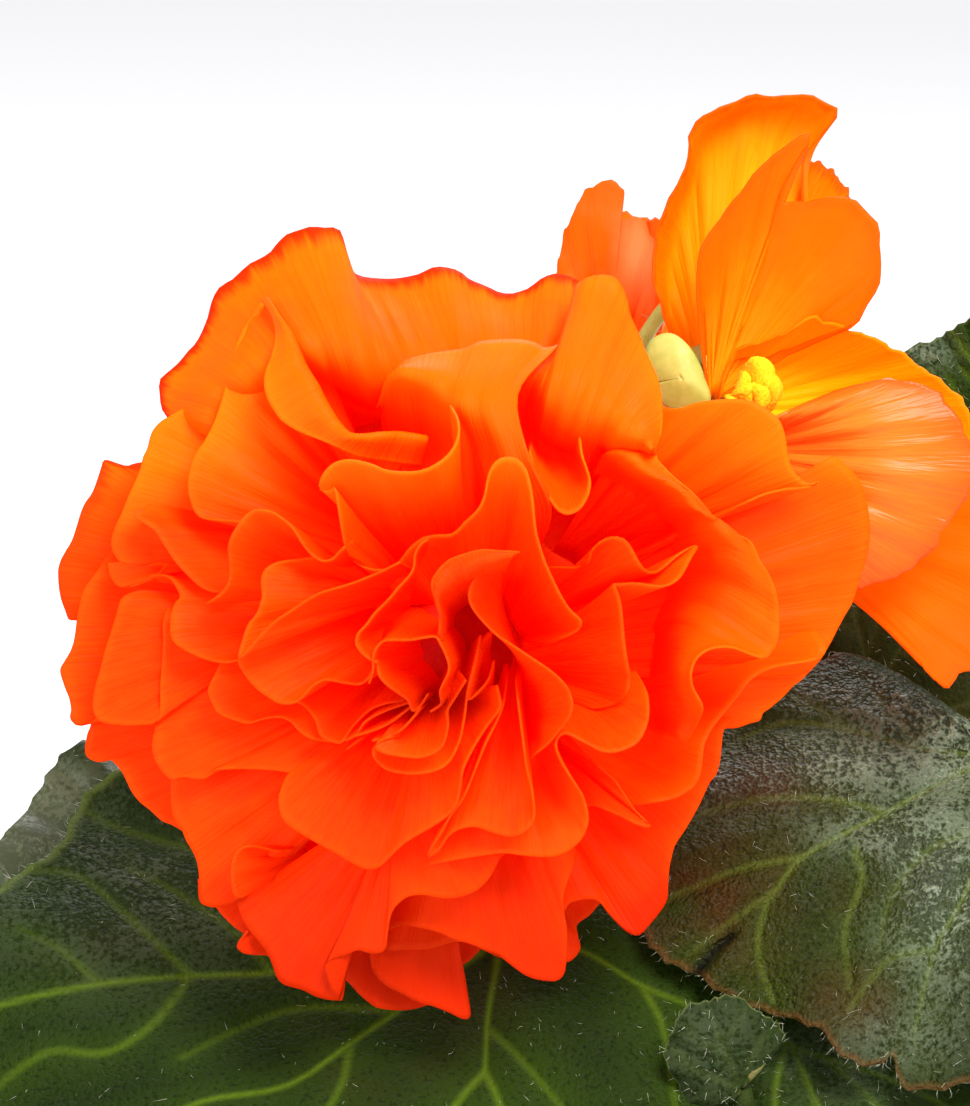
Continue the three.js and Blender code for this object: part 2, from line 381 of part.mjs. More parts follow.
  { name: 'petal_hook_right', root: [[530,600,10],[520,640,10],[520,680,10]], rows: [[[540,569,16],[548,567,17],[562,567,18],[578,567,19],[589,562,20],[592,551,20.5],[602,541,21],[613,537,21],[624,539,21],[631,547,21],[638,560,21],[645,570,20.5],[653,573,20],[662,569,19],[680,554,18],[699,544,17],[692,556,18.5],[683,573,20],[677,580,21],[668,585,21.5],[657,586,22],[645,584,22],[632,583,22],[620,584,22],[614,583,22],[618,593,22],[621,605,22],[623,625,22],[625,645,22],[628,665,22],[630,680,21],[628,692,21],[622,701,20],[608,707,19],[592,709,18],[572,704,16]]], depth: 20, bulge: 1, ruffle: 2.5 },
  { name: 'petal_s_rim_lower', root: [[560,660,9],[530,680,8],[500,695,8],[480,720,8]], rows: [[[636,672,16],[643,683,19],[648,695,20],[649,710,21],[647,725,21],[638,742,22],[620,751,23],[605,752,23],[590,745,23],[577,738,23],[566,733,23],[558,737,23],[556,746,23],[559,757,22.5],[566,770,22],[575,784,21.5],[583,797,21],[588,818,20.5],[585,832,20],[578,843,19.5],[565,853,19],[550,857,18.5],[520,855,18],[505,853,17.5],[480,856,16.5],[440,863,15],[418,868,13]]], depth: 20, bulge: 2, ruffle: 3 },
  { name: 'petal_lower_big', root: [[400,690,8],[430,690,9],[460,690,10]], rows: [[[330,755,12],[305,766,13],[288,775,14],[279,795,14.5],[279,808],[283,820],[295,830],[315,842,15.5],[335,853],[350,862],[365,869,16.5],[378,868],[385,862,17],[390,857],[405,843,18],[430,828,19],[445,818],[455,808,20],[460,790,21],[463,770,22],[475,745,22.5],[488,725,23],[498,712,23.5],[501,705,24],[497,685,24]]], depth: 18, bulge: 2 },
  { name: 'petal_lower_tongue', root: [[505,660,14],[512,660,14],[520,662,14]], rows: [[[507,680,21],[503,705,22.5],[495,725,22.5],[485,745,22],[475,770,21],[462,800,20],[450,817,19.5],[440,835,18.5],[427,857,17.5],[437,853,17.5],[447,838,17.8],[458,830,18],[475,827,18.2],[490,832,18.5],[510,837,19],[525,832,20],[534,820,20.5],[532,790,21.5],[527,770,22],[523,740,23],[518,700,23.5],[516,680,22]]], depth: 21, bulge: 1, ruffle: 1.5 },
  { name: 'petaloid_heart', root: [[390,610,14],[430,605,14],[468,640,14],[466,690,14]], rows: [[[369,684,24],[373,670,25],[373,656,26],[377,647],[384,641,26.5],[410,640,27],[428,637,27.5],[436,637,27.5],[440,643],[445,653,27.5],[449,665],[448,674,27.5],[444,682],[440,692,27.5],[441,704,27],[430,712,26]]], depth: 27, bulge: 1 },
  { name: 'petaloid_heart', root: [[420,590,12],[430,600,12],[425,620,12]], rows: [[[428,539,26.5],[420,545,27],[415,555],[414,566],[410,575,27],[398,588],[388,600,26.5],[375,613],[366,625,26],[358,634],[356,643,26],[361,652],[368,658],[377,663,25.5]]], depth: 26.5, bulge: -3 },
  { name: 'petaloid_heart', root: [[480,630,13],[465,650,13],[460,670,14]], rows: [[[500,583,17],[480,596,17],[466,604,17],[455,614,17],[452,630,17],[450,645,18]],
      [[508,562,27],[482,573,27.5],[470,580,27.5],[452,592,27],[442,603,27],[443,622,26],[444,642,25]],
      [[520,552,28],[505,551,29],[480,550,30],[455,557,30],[445,563],[437,572,30],[432,581],[434,595,29.5],[439,606],[440,621,28.5],[438,640,27]]], depth: 29, at: [0,0.45,0.6,1] },
  { name: 'petaloid_heart', root: [[498,595,15],[512,640,15],[520,665,15],[521,700,15],[524,745,14]], rows: [[[505,557,26],[487,566,27.5],[475,577,28],[469,592,28.5],[470,602],[474,610,28.5],[482,620,28.5],[497,635,28.5],[512,645],[530,657,28],[552,672,27.5],[566,686,27],[572,700,26.5],[572,710],[568,720,25.5],[560,730,24.5],[548,744,23],[535,754,21.5],[527,762,20]]], depth: 28, bulge: 1 },
];

// ---------------------------------------------------------------- tepals of the single flowers, back to front
const TEPALS = [
  { name: 'back_tepal_curled', root: [610,380,-45], rows: [[[560,330,-40],[556,290],[558,262],[566,230],[578,203],[590,187],[603,181],[616,183],[624,191,-38],[619,202],[609,212],[605,218],[612,222],[624,220],[634,217],[645,222],[655,250],[655,300],[650,330,-42]]], bulge: 3, rootWidth: 30 },
  { name: 'back_tepal_pale', root: [650,330,-44], rows: [[[614,246,-41],[622,232],[640,222,-40],[662,220],[690,240],[690,280],[664,306,-42]]], bulge: 0, rootWidth: 20 },
  { name: 'back_tepal_rear', root: [620,350,-49], rows: [[[556,320,-58],[562,270,-62],[590,226,-66],[626,214,-68],[662,230,-66],[682,270,-62],[684,320,-57]]], bulge: -3, rootWidth: 30 },
  { name: 'tepal_top', root: [712,398,-16], rows: [
      [[694,384,-19],[680,360,-20.5],[672,330,-21.5],[672,290,-22],[684,240,-22],[704,190,-21.5],[740,150,-21],[780,150,-20.5],[796,180,-20],[800,230,-19.5],[796,280,-19],[770,340,-17]],
      [[708,400,-15],[698,384],[674,341,-16],[659,301],[653,262,-17],[655,238],[663,214],[678,183,-18],[690,151],[689,139,-17],[696,121],[714,110],[730,104,-16],[746,98],[777,95,-15],[809,97],[838,111,-14],[825,131],[805,155,-17],[802,180],[803,260,-17],[764,350,-15]]], rootWidth: 10 },
  { name: 'tepal_back', root: [725,380,-22], rows: [[[785,150,-24],[803,159],[825,165],[844,185],[856,205,-23],[872,225],[870,260,-22],[850,300,-22]]], bulge: -1, rootWidth: 14, tone: COLOUR.yellow },
  { name: 'tepal_top_right', root: [714,396,-10], rows: [[[710,396,-9],[704,365],[700,325],[697,286,-9],[700,254],[714,226],[738,195,-8],[761,167],[785,145],[811,135,-7],[801,155],[789,175],[779,201,-9],[801,203],[817,197],[840,197,-7],[856,203],[876,222],[881,246,-6],[880,274],[872,297],[856,325,-7],[848,328],[833,322],[817,316],[797,325,-9],[777,337],[754,346],[740,346],[728,369],[720,396,-9]]], bulge: -3, rootWidth: 8 },
  { name: 'tepal_yellow', root: [730,402,-12], rows: [[[720,397,-8],[727,370,-8],[740,348,-8],[760,342,-7],[780,335,-6],[800,324,-5],[813,316,-5],[825,321],[848,329,-8],[880,341],[904,355,-10],[935,377],[959,396],[972,420,-11],[980,450,-11]]], bulge: -4, rootWidth: 20, tone: COLOUR.yellow },
  { name: 'tepal_lower', root: [800,520,-14], rows: [[[850,590,-9],[856,602,-8],[880,622],[912,653],[947,689,-4],[959,673],[972,668],[1000,640,-6],[1010,590],[1000,540,-8],[985,500,-10]]], bulge: 0, rootWidth: 60 },
  { name: 'tepal_front', root: [745,450,-6], rows: [[[778,418,-3],[790,411],[809,402],[841,390],[872,382],[896,380,1],[920,384],[943,396],[959,420],[972,448,2],[975,470],[970,491],[959,507],[939,539,1],[920,562],[888,580],[864,588,-1],[845,590,-2]]], bulge: 4, rootWidth: 34 },
];

// ---------------------------------------------------------------- leaves
const GENERIC_LEAF = [[0.02,0.03],[-0.1,0.07],[-0.16,0.18],[-0.1,0.28],[0.02,0.34],[0.2,0.37],[0.42,0.35],[0.64,0.28],[0.84,0.16],[1.04,-0.02],
  [0.92,-0.18],[0.74,-0.32],[0.52,-0.43],[0.28,-0.5],[0.04,-0.52],[-0.14,-0.46],[-0.24,-0.32],[-0.22,-0.16],[-0.12,-0.06],[0.02,-0.01]];
const LEAVES = [
  { name: 'leaf_front_large', face: true, junction: [500,940,-14], slopeY: 0.75, slopeX: 0.05, droop: 2.5, thick: 2.6,
    outline: [[508,930],[520,890],[590,850],[650,880],[700,930],[730,980],[740,1040],[720,1110],[690,1180],[600,1240],[480,1290],[350,1300],[200,1290],[60,1260],[-60,1230],[-150,1180],[-140,1080],[-110,990],[-60,920],[0,888],[19,872],[57,850],[86,796],[115,773],[180,740],[260,740],[340,770],[420,820],[470,870],[492,928]],
    petiole: [[1,-4,126],[2.4,-14,134],[3.4,-26,146]] },
  { name: 'leaf_right_glossy', face: true, junction: [1000,762,-22], slopeY: 0.7, slopeX: 0, droop: 3, thick: 2.4,
    outline: [[1012,752],[970,723],[929,694],[903,677],[871,660],[842,652],[823,658],[760,690],[700,740],[660,800],[640,870],[636,920],[642,936],[652,952],[668,965],[694,974],[735,1000],[800,1023],[826,1036],[832,1052],[871,1068],[894,1055],[900,1084],[929,1090],[970,1084],[1040,1060],[1090,1000],[1100,900],[1070,820],[1024,776]],
    petiole: [[3,-2,134],[18,-4,146],[40,-10,160]] },
  { name: 'leaf_small_round', face: true, junction: [742,1088,2], slopeY: -0.25, slopeX: -0.02, droop: 1.2, thick: 1.4,
    outline: [[735,1100],[726,1105],[700,1112],[680,1090],[666,1060],[668,1036],[675,1022],[681,1013],[690,1005],[706,999],[726,995],[760,1010],[784,1035],[780,1048],[765,1058],[755,1068],[748,1084]],
    petiole: [[2,-5,110],[20,-26,112],[31,-46,124],[34,-56,136]] },
  { name: 'leaf_lower_right', face: true, junction: [772, 1006, -13.7], slopeY: 0.85, slopeX: 0.1, droop: 2, thick: 1.8,
    outline: [[782,998],[820,990],[870,1000],[930,1040],[990,1100],[1010,1180],[980,1250],[900,1290],[820,1280],[760,1240],[730,1190],[715,1120],[715,1060],[735,1020],[762,998]],
    petiole: [[4,-4,118],[18,-16,124],[28,-32,136]] },
  { name: 'leaf_left_back', face: true, junction: [190,880,-34], slopeY: 0.5, slopeX: -0.05, droop: 2.5, thick: 2,
    outline: [[196,868],[170,800],[140,775],[115,765],[86,740],[57,764],[32,799],[0,840],[-60,900],[-110,960],[-120,1030],[-60,1070],[40,1060],[130,1010],[180,940],[197,892]],
    petiole: [[-3,0,132],[-14,4,144],[-24,2,156]] },
  { name: 'leaf_right_back', face: true, junction: [1010,452,-52], slopeY: -0.25, slopeX: 0.1, droop: 2, thick: 2,
    outline: [[1000,462],[960,430],[939,390],[925,365],[900,352],[920,345],[935,341],[950,328],[970,317],[1020,300],[1080,320],[1110,370],[1104,420],[1070,456],[1022,466]],
    petiole: [[3,3,136],[22,10,160],[48,14,190]] },
  { name: 'leaf_shaded', face: true, junction: [870,720,-38], slopeY: 0.12, slopeX: 0, droop: 2, thick: 2,
    outline: [[860,712],[800,690],[770,640],[780,590],[830,560],[900,545],[970,560],[1030,600],[1060,660],[1040,720],[980,750],[884,726]],
    petiole: [[3,1,140],[14,2,156],[30,4,170]] },
  { name: 'leaf_rear', junction: [4,30,168], along: [0.15,0.95,-0.12], normal: [0,0.2,1], length: 66, droop: 4, thick: 2.4,
    petiole: [[0.6,4,128],[2,14,144],[4,24,160]] },
  { name: 'leaf_rear_left', junction: [-22, 20, 162], along: [-0.2, 0.93, -0.22], normal: [-0.1,0.1,1], length: 58, droop: 4, thick: 2.2, flip: true,
    petiole: [[-3.6,2,122],[-12,8,138],[-21,14,152]] },
];

// ---------------------------------------------------------------- pot, soil, tuber
const bandZ = POT_HEIGHT - POT_BAND_HEIGHT;
let pot = lathe([
  [0, 0], [POT_BASE_RADIUS - 1.5, 0], [POT_BASE_RADIUS, 1.5], [POT_WAIST_RADIUS, bandZ], [POT_RIM_RADIUS - 1, bandZ + 0.5],
  [POT_RIM_RADIUS, bandZ + 2], [POT_RIM_RADIUS, POT_HEIGHT - 1.5], [POT_RIM_RADIUS - 1.2, POT_HEIGHT], [POT_RIM_RADIUS - 3.4, POT_HEIGHT],
  [POT_RIM_RADIUS - 4.2, POT_HEIGHT - 1.2], [POT_WAIST_RADIUS - 3, bandZ], [POT_BASE_RADIUS - 2.5, POT_FLOOR], [0, POT_FLOOR],
]);
const drains = [];
for (let k = 0; k < DRAIN_COUNT; k++) {
  const a = (k + 0.5) / DRAIN_COUNT * Math.PI * 2;
  const hole = new THREE.CylinderGeometry(DRAIN_RADIUS, DRAIN_RADIUS, POT_FLOOR + 4, 14);
  hole.rotateX(Math.PI / 2);
  hole.translate(DRAIN_CIRCLE * Math.cos(a), DRAIN_CIRCLE * Math.sin(a), POT_FLOOR / 2);
  drains.push(solidOf(hole));
}
pot = pot.subtract(joined(drains));
place('pot', pot, pot, COLOUR.clay, 0.85);

const ellipsoid = (rx, ry, rz, centre, wide = 18, high = 10) => {
  const g = new THREE.SphereGeometry(1, wide, high);
  g.rotateX(Math.PI / 2);
  g.scale(rx, ry, rz);
  g.translate(...centre);
  return solidOf(g);
};
const tuberAt = [0, 0, TUBER_CENTRE_Z];
place('tuber', ellipsoid(TUBER_RADIUS, TUBER_RADIUS, TUBER_HALF_HEIGHT, tuberAt),
  ellipsoid(TUBER_RADIUS + GAP, TUBER_RADIUS + GAP, TUBER_HALF_HEIGHT + GAP, tuberAt), COLOUR.tuber, 0.9);

const wallAt = (z) => (z < bandZ
  ? POT_BASE_RADIUS - 2.5 + (POT_WAIST_RADIUS - 0.5 - POT_BASE_RADIUS) * (z - POT_FLOOR) / (bandZ - POT_FLOOR)
  : POT_WAIST_RADIUS - 3 + (POT_RIM_RADIUS - POT_WAIST_RADIUS - 1.2) * (z - bandZ) / (POT_BAND_HEIGHT - 1.2)) - GAP;
const soilEdge = SOIL_TOP - 3;
const soil = lathe([[0, POT_FLOOR + GAP], [wallAt(POT_FLOOR + GAP), POT_FLOOR + GAP], [wallAt(bandZ), bandZ], [wallAt(soilEdge), soilEdge],
  [wallAt(soilEdge) - 6, soilEdge + 1.6], [30, SOIL_TOP - 0.6], [0, SOIL_TOP]]);
place('soil', soil, soil, COLOUR.soil, 1);

// ---------------------------------------------------------------- stems and flower stalks
const stemFoot = TUBER_CENTRE_Z + TUBER_HALF_HEIGHT + GAP;
const limb = (name, points, r0, r1, colour, steps, extra = null) => {
  const s = stalk(points, r0, r1, steps), e = stalk(points, r0 + GAP + 0.12, r1 + GAP + 0.12, steps);
  place(name, extra ? s.add(extra[0]) : s, extra ? e.add(extra[1]) : e, colour, 0.55);
};
limb('main_stem', [[0, 0, stemFoot], [0.5, -0.5, 116], [0.4, -2, 134], STEM_TOP], 6.2, 4.6, COLOUR.green, 8);
const receptacleFoot = face(430, 640, -3.2);
limb('peduncle_main', [[-0.4, -3.6, 152], [-2, -1, 166], [-3.6, -3, 180], [-4.4, -13, 189.5], [-4.5, -26, 191.6], receptacleFoot], 2.8, 2.5, COLOUR.stalk, 12);

const cone = (grow) => {
  const g = new THREE.LatheGeometry([[0, -3 - grow], [2.6 + grow, -3 - grow], [8.6 + grow, -0.8 - grow], [9.4 + grow, 0.6], [7.6 + grow, 3.4 + grow],
    [4, 5 + grow], [0, 5.4 + grow]].map(([r, z]) => new THREE.Vector2(r, z)), 20);
  // the lathe axis (+Y) is laid along the bloom's forward direction
  g.applyQuaternion(new THREE.Quaternion().setFromUnitVectors(new THREE.Vector3(0, 1, 0), BACK.clone().negate()));
  const c = face(430, 640, 0);
  g.translate(c.x, c.y, c.z);
  return solidOf(g);
};
place('receptacle_main', cone(0), cone(GAP + 0.1), COLOUR.green, 0.6);

// ---------------------------------------------------------------- the double bloom
// A petal's slab; one whose curls fold over in front view becomes a plain oval of its size and place.
function petalSolids(petal, stretch, across = 8, along = 3) {
  const grid = unfolded(petal, across, along) ?? unfolded(petal, 6, 2) ?? unfolded(petal, 4, 2);
  if (grid) {
    const g = onFace(grid, stretch);
    return [sheet(g, PETAL_THICKNESS), sheet(g, PETAL_THICKNESS, SOFT_GAP)];
  }
  const all = petalGrid(petal, 12, 4).flat();
  const mean = (c) => all.reduce((m, p) => m + p[c], 0) / all.length;
  const spread = (c) => Math.sqrt(all.reduce((m, p) => m + (p[c] - mean(c)) ** 2, 0) / all.length);
  const centre = [mean(0), mean(1), mean(2)], half = [spread(0) * 1.5, spread(1) * 1.5];
  const tilt = all.reduce((m, p) => m + (p[2] - centre[2]) * (p[1] - centre[1]), 0) / all.reduce((m, p) => m + (p[1] - centre[1]) ** 2, 0);
  const ring = (t) => Array.from({ length: 12 }, (_, i) => {
    const a = -i / 12 * Math.PI * 2, dy = half[1] * Math.sin(a) * t;
    return [centre[0] + half[0] * Math.cos(a) * t, centre[1] + dy, centre[2] + tilt * dy];
  });
  const g = onFace([ring(0), ring(0.6), ring(1)], stretch);
  return [sheet(g, PETAL_THICKNESS, 0, BACK, true), sheet(g, PETAL_THICKNESS, SOFT_GAP, BACK, true)];
}
const heartCore = (grow) => {
  const c = face(443, 640, 15 * BLOOM_DEPTH);
  const g = new THREE.SphereGeometry(1, 12, 8);
  g.scale(7.4 + grow, 10.6 + grow, 7.8 + grow);
  g.rotateX(-BLOOM_TILT);
  g.translate(c.x, c.y, c.z);
  return solidOf(g);
};
const heartPetals = PETALS.filter((p) => p.name === 'petaloid_heart').map((p) => petalSolids(p, BLOOM_DEPTH, 6, 2));
const heartParts = (grow) => joined([heartCore(grow), ...heartPetals.map((pair) => pair[grow ? 1 : 0])]);
place('petaloid_heart', heartParts(0), heartParts(SOFT_GAP), COLOUR.petalDeep, 0.6, SOFT_TOLERANCE);
for (const petal of [...PETALS].reverse()) {
  if (petal.name === 'petaloid_heart') continue;
  const [solid, envelope] = petalSolids(petal, BLOOM_DEPTH);
  place(petal.name, solid, envelope, petal.tone ?? COLOUR.petal, 0.6, SOFT_TOLERANCE);
}

// ---------------------------------------------------------------- the female flower and the back flower
for (const tepal of TEPALS) {
  const [solid, envelope] = petalSolids(tepal, 1, 9, 3);
  place(tepal.name, solid, envelope, tepal.tone ?? COLOUR.tepal, 0.6, SOFT_TOLERANCE);
}
const ovaryAt = face(682, 376, -14);
const ovary = (grow) => {
  const body = new THREE.SphereGeometry(1, 8, 6);
  body.scale(2.4 + grow, 4.2 + grow, 2.4 + grow);
  const parts = [solidOf(body)];
  for (let k = 0; k < 3; k++) {
    const wing = new THREE.Shape();
    wing.moveTo(-0.6, -4.6 - grow); wing.lineTo(3.4 + grow, -3.6 - grow); wing.lineTo(4.6 + grow, 0.6); wing.lineTo(2.6 + grow, 4.2 + grow); wing.lineTo(-0.6, 4.6 + grow);
    const g = new THREE.ExtrudeGeometry(wing, { depth: 0.7 + 2 * grow, bevelEnabled: false });
    g.translate(0, 0, -0.35 - grow);
    g.rotateY(k * Math.PI * 2 / 3 + 0.5);
    parts.push(solidOf(g));
  }
  // the ovary's axis leans from the stalk towards the tepals
  const q = new THREE.Quaternion().setFromUnitVectors(new THREE.Vector3(0, 1, 0), new THREE.Vector3(0.55, -0.62, 0.35).normalize());
  const turn = new THREE.Matrix4().compose(ovaryAt, q, new THREE.Vector3(1, 1, 1));
  return joined(parts).transform(turn.elements);
};
place('ovary_winged', ovary(0), ovary(SOFT_GAP), COLOUR.ovary, 0.5, SOFT_TOLERANCE);
const stylePair = petalSolids({ root: [745, 410, -5], rows: [[[733, 400, -2], [742, 390], [757, 368], [762, 357, -2], [768, 366], [771, 380], [770, 400, -2]]], bulge: 2, rootWidth: 30 }, 1, 6, 2);
place('style_lobes', ...stylePair, COLOUR.yellow, 0.5, SOFT_TOLERANCE);
limb('pedicel_female', [[2.6, -2.2, 150], [7, -5, 166], face(560, 620, -32), face(640, 480, -25), face(668, 402, -17)], 1.8, 1.3, COLOUR.stalk, 12);
limb('pedicel_back', [[1.6, 1.6, 150], [6, 8, 176], [14, 13, 200], face(632, 352, -44)], 1.6, 1.2, COLOUR.stalk, 10);
const budAt = face(690, 282, -32);
const bud = (grow) => {
  const g = new THREE.SphereGeometry(1, 12, 8);
  g.scale(3 + grow, 4.4 + grow, 3 + grow);
  g.rotateX(Math.PI / 2 - 0.5);
  g.rotateY(0.5);
  g.translate(budAt.x, budAt.y, budAt.z);
  return solidOf(g);
};
limb('side_bud', [face(636, 352, -39), face(648, 332, -37), face(662, 312, -35), face(683, 290, -33)], 0.9, 0.9, COLOUR.ovary, 6, [bud(0), bud(GAP)]);

// ---------------------------------------------------------------- leaves
// A blade is spread from its stalk's junction; ring k of n lies k/n of the way to the outline.
function bladeGrid(junction, outline, droop, normal) {
  const rings = 2, grid = [outline.map(() => junction.clone())];
  for (let k = 1; k <= rings; k++) {
    const t = k / rings;
    grid.push(outline.map((p) => junction.clone().lerp(p, t).addScaledVector(normal, droop * 4 * t * (1 - t))));
  }
  return grid;
}
for (const leaf of LEAVES) {
  let junction, outline, normal = BACK.clone().negate();
  if (leaf.face) {
    const [jx, jy, jd] = leaf.junction;
    const depth = (x, y) => jd + leaf.slopeY * (y - jy) * SCALE + (leaf.slopeX ?? 0) * (x - jx) * SCALE;
    junction = face(jx, jy, jd);
    outline = leaf.outline.map(([x, y]) => face(x, y, depth(x, y)));
  } else {
    junction = new THREE.Vector3(...leaf.junction);
    normal = new THREE.Vector3(...leaf.normal).normalize();
    const along = new THREE.Vector3(...leaf.along).normalize();
    const side = new THREE.Vector3().crossVectors(new THREE.Vector3(...leaf.normal).normalize(), along).normalize();
    outline = GENERIC_LEAF.map(([a, b]) => junction.clone().addScaledVector(along, a * leaf.length).addScaledVector(side, b * leaf.length * (leaf.flip ? -1 : 1)));
  }
  const grid = bladeGrid(junction, outline, leaf.droop ?? 3, normal);
  const stem = (grow) => stalk([...leaf.petiole, junction], (leaf.thick ?? 2.2) + grow, (leaf.thick ?? 2.2) * 0.8 + grow, 6);
  place(leaf.name, sheet(grid, LEAF_THICKNESS, 0, normal, true).add(stem(0)), sheet(grid, LEAF_THICKNESS, SOFT_GAP, normal, true).add(stem(SOFT_GAP)), leaf.tone ?? COLOUR.leaf, 0.45, SOFT_TOLERANCE);
}

export default begonia;
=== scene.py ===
# Potted tuberous begonia, visual model. Metres in the scene; helper coordinates are millimetres.
import bpy, math, json
import numpy as np
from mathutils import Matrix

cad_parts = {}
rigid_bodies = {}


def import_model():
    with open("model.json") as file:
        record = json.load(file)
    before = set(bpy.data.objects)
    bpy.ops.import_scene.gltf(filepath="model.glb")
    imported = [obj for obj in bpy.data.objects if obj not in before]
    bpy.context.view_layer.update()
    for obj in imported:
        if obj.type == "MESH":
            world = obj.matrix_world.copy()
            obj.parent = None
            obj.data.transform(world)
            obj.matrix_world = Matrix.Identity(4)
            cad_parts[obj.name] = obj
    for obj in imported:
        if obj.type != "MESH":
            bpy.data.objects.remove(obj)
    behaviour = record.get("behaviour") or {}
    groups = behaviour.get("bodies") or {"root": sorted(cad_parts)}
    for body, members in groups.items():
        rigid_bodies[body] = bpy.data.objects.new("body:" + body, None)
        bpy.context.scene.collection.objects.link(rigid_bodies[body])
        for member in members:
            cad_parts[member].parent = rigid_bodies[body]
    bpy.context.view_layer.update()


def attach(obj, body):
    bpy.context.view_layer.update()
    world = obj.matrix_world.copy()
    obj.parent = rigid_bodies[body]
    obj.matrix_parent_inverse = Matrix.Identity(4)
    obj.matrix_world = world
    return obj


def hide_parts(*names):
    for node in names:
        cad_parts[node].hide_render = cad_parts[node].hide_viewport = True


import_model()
RNG = np.random.default_rng(7)

# ------------------------------------------------------------------ view grid
# x right, y down, d mm towards the front; the face of the bloom looks 16 degrees upwards.
EL = math.radians(16.0)
U = np.array([0, math.sin(EL), math.cos(EL)]); F = np.array([0, math.cos(EL), -math.sin(EL)]); R = np.array([1.0, 0, 0])
T = np.array([2.0, -38.0, 205.0]); DIST = 800.0; S0 = 0.1176; BLOOM_DEPTH = 1.25
def P(x, y, d):
    x = np.asarray(x, float); y = np.asarray(y, float); d = np.asarray(d, float)
    s = S0 * (DIST - d) / DIST
    return T + R * ((x - 485) * s)[..., None] + U * ((553 - y) * s)[..., None] - F * d[..., None]

# ------------------------------------------------------------------ curves and sheets
def fill(pts, d0):
    ds = [p[2] if len(p) > 2 else None for p in pts]
    xy = np.array([[p[0], p[1]] for p in pts], float)
    L = np.r_[0, np.cumsum(np.hypot(*np.diff(xy, axis=0).T))]
    k = [i for i, v in enumerate(ds) if v is not None]
    dd = np.full(len(pts), float(d0)) if not k else np.interp(L, [L[i] for i in k], [ds[i] for i in k])
    return np.c_[xy, dd]
def catmull(pts, n):
    p = np.vstack([2 * pts[0] - pts[1], pts, 2 * pts[-1] - pts[-2]])
    out = []
    for i in range(1, len(p) - 2):
        a, b, c, d = p[i - 1], p[i], p[i + 1], p[i + 2]
        t = np.linspace(0, 1, 8, endpoint=False)[:, None]
        la = max(np.linalg.norm(b - a), 1e-6); lb = max(np.linalg.norm(c - b), 1e-6); lc = max(np.linalg.norm(d - c), 1e-6)
        m1 = (c - a) / (la + lb) * lb; m2 = (d - b) / (lb + lc) * lb
        out.append((2*t**3 - 3*t**2 + 1) * b + (t**3 - 2*t**2 + t) * m1 + (-2*t**3 + 3*t**2) * c + (t**3 - t**2) * m2)
    out = np.vstack(out + [pts[-1:]])
    L = np.r_[0, np.cumsum(np.linalg.norm(np.diff(out[:, :2], axis=0), axis=1))]
    s = np.linspace(0, L[-1], n)
    return np.c_[[np.interp(s, L, out[:, k]) for k in range(out.shape[1])]].T
def smooth(c, w):
    n = len(c); k = min(int(w * 3) + 1, n - 1)
    x = np.arange(-k, k + 1); g = np.exp(-x * x / (2 * w * w)); g /= g.sum()
    out = np.empty_like(c)
    for j in range(c.shape[1]):
        pre = 2 * c[0, j] - c[k:0:-1, j]; post = 2 * c[-1, j] - c[-2:-k - 2:-1, j]
        out[:, j] = np.convolve(np.r_[pre, c[:, j], post], g, 'valid')
    return out
